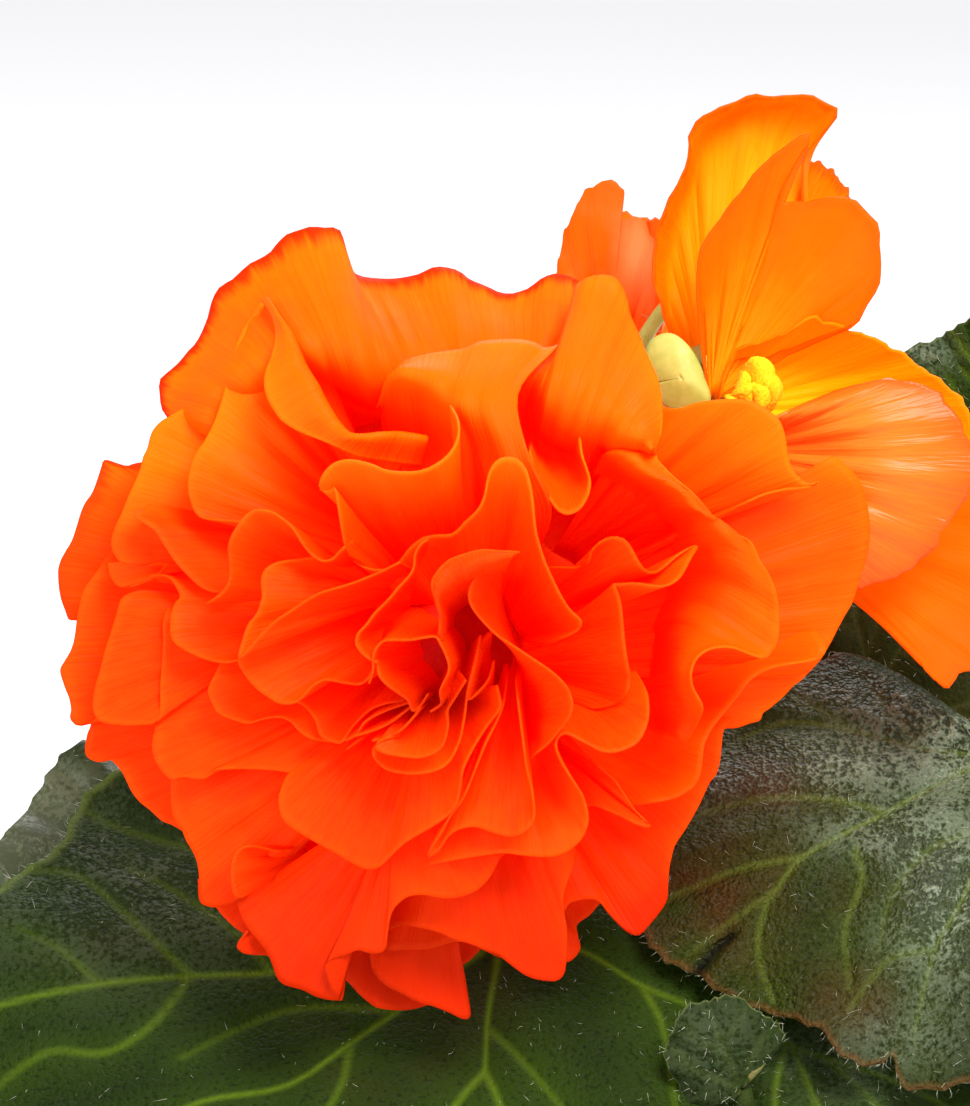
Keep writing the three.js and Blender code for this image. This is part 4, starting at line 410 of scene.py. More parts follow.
p('l3','petal_left_mid',(300,620,4),
  [(140,590,8),(122,598,9),(117,612),(110,635),(105,650),(100,670),(94,692),(93,710),(99,721),(120,725),(140,725),(157,722,10),(160,705),(160,690),(162,660),(163,640),(163,622,10),(170,600,9)],d=10,g=2,w=26)
p('l5','petal_left_fold',(370,560,5),
  [(150,505,9),(133,515,11),(145,523),(155,531),(165,546,12),(175,561),(185,572),(195,582),(205,589,13),(222,593,13),(240,590,12)],d=12,g=-1,w=30)
p('l7','petal_left_fold',(370,620,5),
  [(140,580,8),(150,576,9),(160,575,10),(168,577,11),(175,585),(180,597,12),(175,603,12),(171,614),(170,625,12.5),(171,636),(175,643),(185,650,13),(200,657),(218,662,13.5),(228,662),(238,659,14),(250,645,13)],d=12,g=1,w=30)
p('ul2','petal_left_inner_upper',[(380,500,4),(370,540,4),(365,575,5)],
  [(300,300,6),(280,298,8),(262,302,10),(250,318,10),(240,335),(232,360),(226,385,11),(215,420),(205,440),(195,455),(190,470),(188,482,12),(189,496),(197,515,12),(212,519),(240,521,13),(275,525,12)],d=11,g=3)
p('f','petal_flap',[(380,560,5),(420,540,5),(450,540,6)],
  [(262,320,6),(290,380,6),(330,440,7),(360,462,8),(400,470,9)],
  [(268,301,11),(280,322,13),(290,333),(300,352),(310,370,15),(318,383),(330,407),(340,424,17),(352,435,18),(380,434,18),(400,434,17.5),(425,438,16.5)],
  [(261,300,11),(270,313,13),(276,330),(272,355,14),(266,370),(264,385,15),(268,400),(275,412),(283,422,16),(300,432),(320,440,17),(340,448,18),(355,455,18),(372,459,17.5),(395,463,16.5),(420,466,15)],
  vs=[0,.5,.66,1],d=14)
p('rp','petal_round',[(430,565,7),(460,575,8),(495,575,9),(520,565,11),(540,545,13)],
  [(395,480,7),(415,490,7),(440,500,8),(462,508,12),(482,512,16),(505,512,19),(528,508,21),(551,502,21.5)],
  [(384,430,6),(398,445,6),(425,450,7),(443,452,9),(468,448,16),(492,450,20),(512,453,21.5),(531,460,21.5)],
  [(381,406,12),(392,384,16),(410,383,17),(435,393,18),(455,402,19),(480,402,20),(503,401,20),(517,399,19)],
  [(377,408,11),(381,396,12),(385,385,13),(393,374),(400,365,14),(407,360),(430,354,14),(463,349),(480,342,14),(500,340),(520,340,14),(535,343),(545,348),(559,345,13)],
  vs=[0,.28,.46,.68,1],d=14)
p('d2','petal_round',[(532,430,8),(548,424,8),(562,424,8)],
  [(529,452,19),(533,466,20),(538,479,21),(545,491),(551,501,22),(558,510,22.5),(566,514,22.5),(575,512),(582,506,22),(588,495,21),(590,482,20),(587,470,19),(582,455,18),(580,440,17),(579,428,15)],d=21,g=-4)
p('c1','petal_s_curve',[(400,590,9),(430,590,9),(470,575,10)],
  [(350,556,22),(345,545,23),(342,530,23.5),(340,518),(337,500,24),(334,487,24),(328,491,23),(319,487,23),(321,478,24),(328,468,24.5),(337,462,25),(350,460,25.5),(370,464,26),(385,470,26),(400,472,26),(420,471,26),(435,465,26),(448,455,25.5),(456,443,25),(459,430,24),(457,417,22.5),(450,405,20)],d=25,g=2,p=3)
p('l8','petal_wave_left',[(350,590,9),(375,590,10),(400,580,11)],
  [(205,604,14),(214,599,16),(222,592),(227,585,17),(230,575),(229,558,18),(228,548),(231,537,19),(238,525),(246,515,20),(255,510),(263,510,21),(272,512),(280,517,22),(288,523),(296,533,22),(302,543),(309,552,22),(316,558),(323,561,22),(332,559),(338,553,22.5),(344,547,23),(352,540,22)],d=20,g=0,p=3)
p('l9','petal_wave_left',[(400,600,12),(430,580,13)],
  [(345,556,19),(320,556,20),(300,559,20),(275,563,20),(266,568),(262,575),(261,583,20.5),(262,597,21),(256,615,21),(249,623),(244,635,21),(238,659,21),(252,644,21.5),(262,633),(275,621,22),(290,611),(305,601,22.5),(320,593),(350,584,23),(380,572,24),(400,562,25)],d=20,g=1)
p('l10','petal_oval_left',[(410,590,7),(430,620,7),(440,650,8)],
  [(262,625,15),(245,642,16),(238,661,17),(243,672),(250,682),(258,690,17.5),(268,697),(278,703,18),(288,704),(296,702,18.5),(302,697),(308,690),(315,684,19.5),(325,680),(345,683,20.5),(360,684,21.5),(368,678),(373,668,22.5),(377,655,23)],d=18,g=3)
p('c10','petal_oval_left',(410,660,8),
  [(290,700,14),(303,705,15),(315,720,16),(320,735),(330,741,17),(340,743),(347,735),(354,725,18),(370,710,19),(385,704,20),(405,701,21)],d=18,g=1,w=24)
p('l11','petal_left_lower_inner',(410,670,4),
  [(175,635,6),(165,650,7),(161,680,8),(158,715,9),(152,745,9.5),(155,760),(163,773,10),(172,780),(182,777),(195,779,10.5),(205,778),(213,771,11),(240,769),(270,770,12),(300,773),(320,768,13),(335,758),(347,749,14),(362,738,15)],d=10,g=3,w=40)
p('l12','petal_left_lower_inner',(410,660,6),
  [(235,648,11),(224,658,12),(214,676,12.5),(208,690),(212,703),(218,713,13),(232,719),(248,723,13.5),(262,719),(280,717,14),(291,722),(298,730,14.5),(310,738,15),(330,742,15)],d=13,g=1,w=30)
# ---------------- front / centre
p('c2','petal_tongue_center',[(460,640,10),(490,640,10),(515,640,10)],
  [(345,553,19),(360,565,20),(370,569),(380,570,21),(390,568),(398,563,22),(408,550),(415,543,23),(425,537),(440,535,24),(450,535),(458,530,24),(465,522),(475,513,24),(482,503),(486,490,24),(488,478),(492,467,24),(498,460),(505,457,23.5),(515,458),(522,463,23.5),(527,472),(532,495,24.5),(534,515),(536,532,25),(540,547),(545,562,25.5),(553,580),(561,596,25.5),(570,610),(582,622,25),(577,631),(560,639,23),(545,645,21)],d=24,g=1,p=3)
p('e','petal_hook_right',[(530,600,10),(520,640,10),(520,680,10)],
  [(540,569,16),(548,567,17),(562,567,18),(578,567,19),(589,562,20),(592,551,20.5),(602,541,21),(613,537,21),(624,539,21),(631,547,21),(638,560,21),(645,570,20.5),(653,573,20),(662,569,19),(680,554,18),(699,544,17),(692,556,18.5),(683,573,20),(677,580,21),(668,585,21.5),(657,586,22),(645,584,22),(632,583,22),(620,584,22),(614,583,22),(618,593,22),(621,605,22),(623,625,22),(625,645,22),(628,665,22),(630,680,21),(628,692,21),(622,701,20),(608,707,19),(592,709,18),(572,704,16)],d=20,g=1,p=2.5,sm=0.04)
p('g','petal_s_rim_lower',[(560,660,9),(530,680,8),(500,695,8),(480,720,8)],
  [(636,672,16),(643,683,19),(648,695,20),(649,710,21),(647,725,21),(638,742,22),(620,751,23),(605,752,23),(590,745,23),(577,738,23),(566,733,23),(558,737,23),(556,746,23),(559,757,22.5),(566,770,22),(575,784,21.5),(583,797,21),(588,818,20.5),(585,832,20),(578,843,19.5),(565,853,19),(550,857,18.5),(520,855,18),(505,853,17.5),(480,856,16.5),(440,863,15),(418,868,13)],d=20,g=2,p=3)
p('b2','petal_lower_big',[(400,690,8),(430,690,9),(460,690,10)],
  [(330,755,12),(305,766,13),(288,775,14),(279,795,14.5),(279,808),(283,820),(295,830),(315,842,15.5),(335,853),(350,862),(365,869,16.5),(378,868),(385,862,17),(390,857),(405,843,18),(430,828,19),(445,818),(455,808,20),(460,790,21),(463,770,22),(475,745,22.5),(488,725,23),(498,712,23.5),(501,705,24),(497,685,24)],d=18,g=2)
p('b3','petal_lower_tongue',[(505,660,14),(512,660,14),(520,662,14)],
  [(507,680,21),(503,705,22.5),(495,725,22.5),(485,745,22),(475,770,21),(462,800,20),(450,817,19.5),(440,835,18.5),(427,857,17.5),(437,853,17.5),(447,838,17.8),(458,830,18),(475,827,18.2),(490,832,18.5),(510,837,19),(525,832,20),(534,820,20.5),(532,790,21.5),(527,770,22),(523,740,23),(518,700,23.5),(516,680,22)],d=21,g=1,sm=0.03,p=1.5)
p('b1a','petal_lower_tongue',[(425,690,14),(445,680,14),(470,650,14)],
  [(395,735,19),(378,744,20),(372,752,21),(378,763),(390,771,21.5),(420,774),(445,766,22.5),(458,745,23.5),(464,720,24.5),(468,690,25),(477,655,25.5),(481,635,25)],d=22,g=1)
p('b1b','petal_lower_tongue',[(425,680,16),(440,675,16),(450,660,16)],
  [(400,736,22.5),(382,741,23),(375,747),(383,753),(405,757,23.5),(420,758),(435,753),(443,745,24.5),(448,725,25.5),(447,712,26),(455,698,26),(466,680,26)],d=24,g=1)
p('c5','petaloid_heart',[(440,630,14),(450,660,14),(440,690,14)],
  [(390,641,23),(378,650,24),(376,662,24.5),(379,675,25),(386,684),(398,693,25),(408,701),(413,711,25),(420,706,24.5),(428,694,24)],d=24.5,g=0)
p('c4','petaloid_heart',[(390,610,14),(430,605,14),(468,640,14),(466,690,14)],
  [(369,684,24),(373,670,25),(373,656,26),(377,647),(384,641,26.5),(410,640,27),(428,637,27.5),(436,637,27.5),(440,643),(445,653,27.5),(449,665),(448,674,27.5),(444,682),(440,692,27.5),(441,704,27),(430,712,26)],d=27,g=1)
p('c3','petaloid_heart',[(420,590,12),(430,600,12),(425,620,12)],
  [(428,539,26.5),(420,545,27),(415,555),(414,566),(410,575,27),(398,588),(388,600,26.5),(375,613),(366,625,26),(358,634),(356,643,26),(361,652),(368,658),(377,663,25.5)],d=26.5,g=-3)
p('c6','petaloid_heart',[(480,630,13),(465,650,13),(460,670,14)],
  [(500,583,17),(480,596,17),(466,604,17),(455,614,17),(452,630,17),(450,645,18)],
  [(508,562,27),(482,573,27.5),(470,580,27.5),(452,592,27),(442,603,27),(443,622,26),(444,642,25)],
  [(520,552,28),(505,551,29),(480,550,30),(455,557,30),(445,563),(437,572,30),(432,581),(434,595,29.5),(439,606),(440,621,28.5),(438,640,27)],
  vs=[0,.45,.6,1],d=29)
p('c7','petaloid_heart',[(498,595,15),(512,640,15),(520,665,15),(521,700,15),(524,745,14)],
  [(505,557,26),(487,566,27.5),(475,577,28),(469,592,28.5),(470,602),(474,610,28.5),(482,620,28.5),(497,635,28.5),(512,645),(530,657,28),(552,672,27.5),(566,686,27),(572,700,26.5),(572,710),(568,720,25.5),(560,730,24.5),(548,744,23),(535,754,21.5),(527,762,20)],d=28,g=1)
p('hb','petaloid_heart',[(488,650,14),(495,670,14),(490,700,14)],
  [(492,630,23),(482,640,24.5),(478,655,25),(471,680,25),(468,700,24.5),(476,694,24),(488,680,23.5),(494,660,23)],d=24,g=0)
p('p1','petaloid_heart',(410,690,13),
  [(345,741,18),(356,735,20),(365,722,21),(385,711,22),(412,702,23)],d=21,g=0,w=16)
p('p2','petaloid_heart',(425,690,14),
  [(352,737,20),(372,731,21.5),(388,724,22.5),(402,714,23.5),(412,706,24)],d=22,g=-1,w=10)
p('p3','petaloid_heart',(435,690,15),
  [(372,741,21),(384,739,22),(400,731,23.5),(412,719,24.5),(420,708,25)],d=23,g=-1,w=10)

# ------------------------------------------------------------------ tepals of the single flowers
TEP = []
def q(n, b, c, g=5.0, w=24, tone=0.4, mat=None): TEP.append(dict(n=n, node=n, b=tuple(b), c=c, g=g, w=w, tone=tone, mat=mat))
q('back_tepal_curled', [610,380,-45], [[[560,330,-40],[556,290],[558,262],[566,230],[578,203],[590,187],[603,181],[616,183],[624,191,-38],[619,202],[609,212],[605,218],[612,222],[624,220],[634,217],[645,222],[655,250],[655,300],[650,330,-42]]], g=3, w=30, tone=0.1, mat=None)
q('back_tepal_pale', [650,330,-44], [[[614,246,-41],[622,232],[640,222,-40],[662,220],[690,240],[690,280],[664,306,-42]]], g=0, w=20, tone=0.35, mat='front')
q('back_tepal_rear', [620,350,-49], [[[556,320,-58],[562,270,-62],[590,226,-66],[626,214,-68],[662,230,-66],[682,270,-62],[684,320,-57]]], g=-3, w=30, tone=0.2, mat=None)
q('tepal_top', [712,398,-16], [ [[694,384,-19],[680,360,-20.5],[672,330,-21.5],[672,290,-22],[684,240,-22],[704,190,-21.5],[740,150,-21],[780,150,-20.5],[796,180,-20],[800,230,-19.5],[796,280,-19],[770,340,-17]], [[708,400,-15],[698,384],[674,341,-16],[659,301],[653,262,-17],[655,238],[663,214],[678,183,-18],[690,151],[689,139,-17],[696,121],[714,110],[730,104,-16],[746,98],[777,95,-15],[809,97],[838,111,-14],[825,131],[805,155,-17],[802,180],[803,260,-17],[764,350,-15]]], g=5, w=10, tone=0.95, mat=None)
q('tepal_back', [725,380,-22], [[[785,150,-24],[803,159],[825,165],[844,185],[856,205,-23],[872,225],[870,260,-22],[850,300,-22]]], g=-1, w=14, tone=1.0, mat=None)
q('tepal_top_right', [714,396,-10], [[[710,396,-9],[704,365],[700,325],[697,286,-9],[700,254],[714,226],[738,195,-8],[761,167],[785,145],[811,135,-7],[801,155],[789,175],[779,201,-9],[801,203],[817,197],[840,197,-7],[856,203],[876,222],[881,246,-6],[880,274],[872,297],[856,325,-7],[848,328],[833,322],[817,316],[797,325,-9],[777,337],[754,346],[740,346],[728,369],[720,396,-9]]], g=-3, w=8, tone=0.3, mat=None)
q('tepal_yellow', [730,402,-12], [[[720,397,-8],[727,370,-8],[740,348,-8],[760,342,-7],[780,335,-6],[800,324,-5],[813,316,-5],[825,321],[848,329,-8],[880,341],[904,355,-10],[935,377],[959,396],[972,420,-11],[980,450,-11]]], g=-4, w=20, tone=0.6, mat='yellow')
q('tepal_lower', [800,520,-14], [[[850,590,-9],[856,602,-8],[880,622],[912,653],[947,689,-4],[959,673],[972,668],[1000,640,-6],[1012,560],[1004,490,-9],[985,446,-11],[950,436,-12]]], g=0, w=60, tone=0.0, mat=None)
q('tepal_front', [745,450,-6], [[[778,418,-3],[790,411],[809,402],[841,390],[872,382],[896,380,1],[920,384],[943,396],[959,420],[972,448,2],[975,470],[970,491],[959,507],[939,539,1],[920,562],[888,580],[864,588,-1],[845,590,-2]]], g=4, w=34, tone=0.4, mat='front')

# ------------------------------------------------------------------ the double bloom
def painted_light_tone_at(x, y, v, depth):
    """Painted light: 0 deep red-orange (painted shade) to 1 light orange (painted light): lighter towards the top and
    the outer right where light falls, deeper in the middle and below where shade falls.
    """
    S = lambda q: (lambda c: c * c * (3 - 2 * c))(np.clip(q, 0, 1))
    r = np.hypot(x - 440, y - 640)
    top = S((565 - y) / 140) * S((r - 60) / 120)
    right = 0.52 * S((x - 590) / 180) * S((800 - y) / 120) * S((r - 110) / 90)
    return np.maximum(np.maximum(top, right), 0.04)
groups = {}
for p_ in PET: groups.setdefault(p_['node'], []).append(p_)
NU, NV = 78, 18
# short inner petals between the large ones, deep in the bloom: angle on the face, length, depth at root and rim, half width
INNER = {'petal_top_guard': [(90, 235, 0.4, 1.6, 34), (64, 150, 2.0, 5.0, 32)], 'petal_upper_right': [(38, 235, 0.5, 1.8, 32)], 'petal_right_guard': [(-12, 240, 0.4, 1.6, 32), (12, 165, 2.0, 5.0, 32)],
  'petal_lower_right_outer': [(-62, 225, 0.5, 1.6, 32)], 'petal_lower_big': [(-115, 225, 0.4, 1.6, 34), (-90, 150, 2.0, 4.6, 32)], 'petal_left_low_outer': [(-165, 240, 0.5, 1.6, 32)],
  'petal_left_upper': [(142, 235, 0.4, 1.8, 32)], 'petal_lower_right_inner': [(-38, 160, 2.0, 5.0, 32)], 'petal_left_lower_inner': [(-140, 150, 2.0, 4.6, 32)], 'petal_left_mid': [(168, 150, 2.0, 4.8, 32)], 'petal_round': [(116, 150, 2.0, 4.8, 30)]}
def inner_petal(a0, length, d0, d1, hw, nu=30, nv=12):
    u = np.linspace(-1, 1, nu + 1)[None, :]; v = np.linspace(0.04, 1, nv + 1)[:, None]
    a = np.radians(a0 + u * hw * (0.55 + 0.45 * v)); L = length * v * (1 - 0.10 * u ** 2 * v + 0.03 * np.sin(7 * u + a0) * v ** 2)
    x = 430 + L * np.cos(a); y = 640 - L * np.sin(a)
    d = d0 + (d1 - d0) * v ** 1.6 + 0.5 * v * np.sin(5.0 * u + 0.1 * a0) + 0.25 * v * np.sin(13 * u + a0)
    V3 = P(x, y, d * BLOOM_DEPTH); V, Fc = thick(V3, nv, nu, 0.5 - 0.25 * v[:, 0])
    uu, vv = np.meshgrid(np.linspace(0, 1, nu + 1), v[:, 0]); uv = np.stack([uu, vv * 0.8], -1).reshape(-1, 2)
    return V, Fc, np.vstack([uv, uv])
for node, members in groups.items():
    parts, uvs, tones, seeds, dims = [], [], [], [], []
    for m_ in members:
        small = m_['n'] in ('l6', 'b9d', 'b11', 'b10b', 'p1', 'p2', 'p3', 'hb', 'd2', 'r9', 'b7')
        nu, nv = (48, 12) if small else (NU, NV)
        G, v = surf(m_, nu, nv)
        G = G.copy(); G[..., 2] *= BLOOM_DEPTH
        V3 = P(G[..., 0], G[..., 1], G[..., 2])
        th = 0.62 - 0.36 * v ** 1.5
        V, Fc = thick(V3, nv, nu, th)
        parts.append((V, Fc))
        uu, vv = np.meshgrid(np.linspace(0, 1, nu + 1), v); uv = np.stack([uu, vv], -1).reshape(-1, 2)
        uvs.append(np.vstack([uv, uv]))
        sd = (sum(map(ord, m_['n'])) * 29 % 97) / 97.0
        tn = painted_light_tone_at(G[..., 0], G[..., 1], vv, G[..., 2]).reshape(-1) + 0.12 * (sd - 0.5) + m_.get('tn', 0.0)
        X_, Y_ = G[..., 0], G[..., 1]
        # painted shade: darker on the lowest petals, in the low middle of the bloom and at the lower right, where less
        # light falls
        dm = 0.8 * np.clip((Y_ - 800) / 170, 0, 1) ** 1.2 + 0.75 * np.exp(-(((X_ - 425) / 55) ** 2 + ((Y_ - 702) / 22) ** 2)) + 0.5 * np.exp(-(((X_ - 470) / 26) ** 2 + ((Y_ - 640) / 60) ** 2)) + 0.6 * np.clip((X_ - 600) / 60, 0, 1) * np.clip((Y_ - 850) / 60, 0, 1)
        dm = np.clip(dm, 0, 0.85).reshape(-1); dims.append(np.r_[dm, dm])
        tones.append(np.r_[tn, tn]); seeds.append(np.full(len(V), sd))
    for q_ in INNER.get(node, []):
        V, Fc, uv2 = inner_petal(*q_); parts.append((V, Fc)); uvs.append(uv2)
        # the inner petals get the darkest tone and painted shade, for the depth of the bloom where they sit
        tones.append(np.full(len(V), 0.03)); seeds.append(np.full(len(V), (q_[0] % 7) / 7.0)); dims.append(np.full(len(V), 0.35))
    V, Fc = merge(parts)
    ob = new_object("begonia_" + node, V, Fc, M_GUARD if node in ("petal_top_guard", "petal_far_left") else M_PETAL, np.vstack(uvs), {"tone": np.concatenate(tones), "seed": np.concatenate(seeds), "painted_shade": np.concatenate(dims)})
    finish_piece(ob, node)

def simple_material(name, c1, c2, scale, rough=0.5, spec=0.4, bump=0.2, bdist=0.0004, bscale=None, sss=0.0, detail=4.0, attr=None, c3=None):
    m, nt, nodes, links = material(name)
    tc = N(nodes, 'ShaderNodeTexCoord')
    n1 = N(nodes, 'ShaderNodeTexNoise', inputs={'Scale': scale, 'Detail': detail, 'Roughness': 0.6}); links.new(tc.outputs['Object'], n1.inputs['Vector'])
    r = ramp(nodes, [(0.3, c1), (0.7, c2)]); links.new(n1.outputs[0], r.inputs[0]); col = r.outputs[0]
    if attr:
        a = N(nodes, 'ShaderNodeAttribute', attribute_name=attr); col = mixc(nodes, links, a.outputs['Fac'], col, c3 + (1,))
    pr = N(nodes, 'ShaderNodeBsdfPrincipled', distribution='GGX', inputs={'Roughness': rough, 'Specular IOR Level': spec, 'Subsurface Weight': sss, 'Subsurface Scale': 0.002})
    links.new(col, pr.inputs['Base Color'])
    n2 = N(nodes, 'ShaderNodeTexNoise', inputs={'Scale': bscale or scale * 6, 'Detail': 4.0}); links.new(tc.outputs['Object'], n2.inputs['Vector'])
    rg = ramp(nodes, [(0.3, (rough - 0.12,) * 3), (0.7, (min(rough + 0.12, 1),) * 3)]); links.new(n2.outputs[0], rg.inputs[0]); links.new(rg.outputs[0], pr.inputs['Roughness'])
    bp = N(nodes, 'ShaderNodeBump', inputs={'Strength': bump, 'Distance': bdist}); links.new(n2.outputs[0], bp.inputs['Height']); links.new(bp.outputs[0], pr.inputs['Normal'])
    out = N(nodes, 'ShaderNodeOutputMaterial'); links.new(pr.outputs[0], out.inputs[0])
    return m
M_STALK = simple_material("stalk_flesh", (0.32, 0.33, 0.035), (0.46, 0.46, 0.07), 60, 0.45, 0.25, 0.25, 0.0003, 500, 0.05)
M_STEM = simple_material("stem_flesh", (0.22, 0.10, 0.03), (0.26, 0.27, 0.06), 40, 0.45, 0.4, 0.35, 0.0005, 400, 0.1)
M_OVARY = simple_material("ovary_flesh", (0.36, 0.39, 0.06), (0.54, 0.55, 0.13), 300, 0.45, 0.2, 0.2, 0.0002, 1400, 0.05)
M_STIGMA = simple_material("stigma_velvet", (0.95, 0.50, 0.002), (1.0, 0.68, 0.01), 300, 0.7, 0.2, 0.6, 0.0004, 2600, 0.1)
M_HAIR = simple_material("plant_hair", (0.50, 0.51, 0.36), (0.66, 0.66, 0.52), 200, 0.4, 0.5, 0.1, 0.0001, 900)
M_HEART = simple_material("heart_painted_shade", (0.55, 0.002, 0.0), (0.80, 0.010, 0.0), 220, 0.6, 0.2, 0.3, 0.0004, 1500)

# the deep middle of the bloom, from which the inner petaloids rise; its dark red is painted shade for the depths
# between them
def ellipsoid(c, r, tilt=0.0, nu=48, nv=28, rough=0.0):
    V = []; uv = []
    for j in range(nv + 1):
        a = math.pi * j / nv
        for i in range(nu):
            b = 2 * math.pi * i / nu
            q = np.array([math.sin(a) * math.cos(b) * r[0], math.sin(a) * math.sin(b) * r[1], math.cos(a) * r[2]])
            q *= 1 + rough * math.sin(5 * b + 3 * a) * math.sin(a)
            y = q[1] * math.cos(tilt) - q[2] * math.sin(tilt); z = q[1] * math.sin(tilt) + q[2] * math.cos(tilt)
            V.append([c[0] + q[0], c[1] + y, c[2] + z])
    Fc = []
    for j in range(nv):
        for i in range(nu):
            a = j * nu + i; b = j * nu + (i + 1) % nu
            if j == 0: Fc.append((a, a + nu, b + nu))
            elif j == nv - 1: Fc.append((a, a + nu, b))
            else: Fc.append((a, a + nu, b + nu, b))
    return np.array(V), Fc
hc = P(448, 645, 11 * BLOOM_DEPTH)
V, Fc = ellipsoid(hc, (8.6, 9.0, 8.6), -EL, rough=0.05)
ob = new_object("begonia_heart_core", V, Fc, M_HEART); finish_piece(ob, "petaloid_heart")

# receptacle: a pale green cone behind the bloom
rc = P(430, 640, 0); fwd = -F; up = U
prof = [(0.02, -3.6), (2.4, -3.5), (3.2, -3.0), (5.6, -1.9), (8.2, -0.8), (9.3, 0.3), (8.4, 2.2), (6.0, 4.2), (0.02, 5.2)]
prof = catmull(np.array([(a, b, 0) for a, b in prof], float), 36)
V = []; Fc = []
for (r_, z_, _) in prof:
    for i in range(40):
        a = 2 * np.pi * i / 40
        V.append(rc + fwd * z_ + (R * math.cos(a) + up * math.sin(a)) * max(r_, 0.02) * (1 + 0.03 * math.sin(5 * a)))
for j in range(len(prof) - 1):
    for i in range(40): Fc.append((j * 40 + i, j * 40 + (i + 1) % 40, (j + 1) * 40 + (i + 1) % 40, (j + 1) * 40 + i))
Fc.append(tuple(range(39, -1, -1))); Fc.append(tuple((len(prof) - 1) * 40 + i for i in range(40)))
ob = new_object("begonia_receptacle", V, Fc, M_STALK); finish_piece(ob, "receptacle_main")

# ------------------------------------------------------------------ the single flowers
for m_ in TEP:
    nu, nv = 76, 20
    G, v = surf(m_, nu, nv); G = G.copy()
    u_ = np.linspace(0, 1, nu + 1)[None, :]; k_ = (v ** 6)[:, None] * np.clip(np.minimum(u_, 1 - u_) * 12, 0, 1)
    nick = 1.3 * np.sin(61 * u_ + len(m_['n'])) + 1.1 * np.sin(97 * u_ + 2) + 0.9 * np.sin(151 * u_)
    dirn = G[-1] - G[-4]; dirn = dirn / (np.linalg.norm(dirn[:, :2], axis=1, keepdims=True) + 1e-6)
    G[..., 0] += k_ * nick * dirn[None, :, 0]; G[..., 1] += k_ * nick * dirn[None, :, 1]; G[..., 2] += k_ * 0.25 * np.sin(43 * u_ + 1)
    V3 = P(G[..., 0], G[..., 1], G[..., 2])
    V, Fc = thick(V3, nv, nu, 0.6 - 0.3 * v)
    uu, vv = np.meshgrid(np.linspace(0, 1, nu + 1), v); uv = np.stack([uu, vv], -1).reshape(-1, 2)
    sd = (sum(map(ord, m_['n'])) * 29 % 97) / 97.0
    tn = np.full(len(V), m_.get('tone', 0.4))
    if m_['n'] == 'back_tepal_curled':
        z_ = np.exp(-(((G[..., 0] - 642) / 26) ** 2 + ((G[..., 1] - 250) / 46) ** 2)).reshape(-1); tn = np.r_[z_, z_]
    if m_['n'] == 'tepal_yellow':
        z_ = np.clip(1.15 - np.hypot(G[..., 0] - 760, G[..., 1] - 385) / 190, 0, 1).reshape(-1); tn = np.r_[z_, z_]
    mat = {'yellow': M_YELLOW, 'front': M_TEPAL_FRONT}.get(m_.get('mat'), M_CURL if m_['n'] == 'back_tepal_curled' else M_TEPAL)
    ob = new_object("begonia_" + m_['node'], V, Fc, mat, np.vstack([uv, uv]), {"tone": tn, "seed": np.full(len(V), sd), "painted_shade": np.zeros(len(V))})
    finish_piece(ob, m_['node'])

# styles: three forked, twisted yellow lobes
def lobe(a, b, r, twist, nu=20, nv=26):
    """A flattened, twisted lobe from a to b."""
    ax_ = (b - a) / np.linalg.norm(b - a); e1 = np.cross(ax_, F); e1 /= np.linalg.norm(e1); e2 = np.cross(ax_, e1); V = []; Fc = []
    for j in range(nv + 1):
        t = j / nv; w = r * math.sqrt(max(math.sin(math.pi * min(0.06 + 0.94 * t, 1.0) ** 1.5), 0.0)) + 0.02; th = twist + 2.2 * t
        c = a + (b - a) * t + e1 * 0.5 * math.sin(5 * t + twist) * t
        for i in range(nu):
            q = 2 * math.pi * i / nu; k = 1 + 0.16 * math.sin(3 * q + 6 * t + twist) + 0.08 * math.sin(7 * q - 9 * t)
            x_, y_ = w * k * math.cos(q), 0.55 * w * k * math.sin(q)
            V.append(c + e1 * (x_ * math.cos(th) - y_ * math.sin(th)) + e2 * (x_ * math.sin(th) + y_ * math.cos(th)))
    for j in range(nv):
        for i in range(nu): Fc.append((j * nu + i, j * nu + (i + 1) % nu, (j + 1) * nu + (i + 1) % nu, (j + 1) * nu + i))
    Fc.append(tuple(range(nu - 1, -1, -1))); Fc.append(tuple(nv * nu + i for i in range(nu)))
    return np.array(V), Fc
parts = []
for (bx, by, bd, tx, ty, td, tw, r1) in ((742, 414, -6, 741, 372, -2.6, 0.0, 1.5), (752, 414, -6, 757, 356, -2.2, 1.2, 1.9), (760, 416, -6, 772, 374, -2.4, 2.2, 1.7), (748, 414, -5, 730, 394, -1.6, 3.0, 1.2), (756, 416, -4, 764, 386, -0.8, 4.0, 1.6), (746, 414, -4, 748, 384, -0.9, 5.0, 1.5)):
    parts.append(lobe(P(bx, by, bd), P(tx, ty, td), r1, tw))
V, Fc = merge(parts)
ob = new_object("begonia_style_lobes", V, Fc, M_STIGMA); finish_piece(ob, "style_lobes")

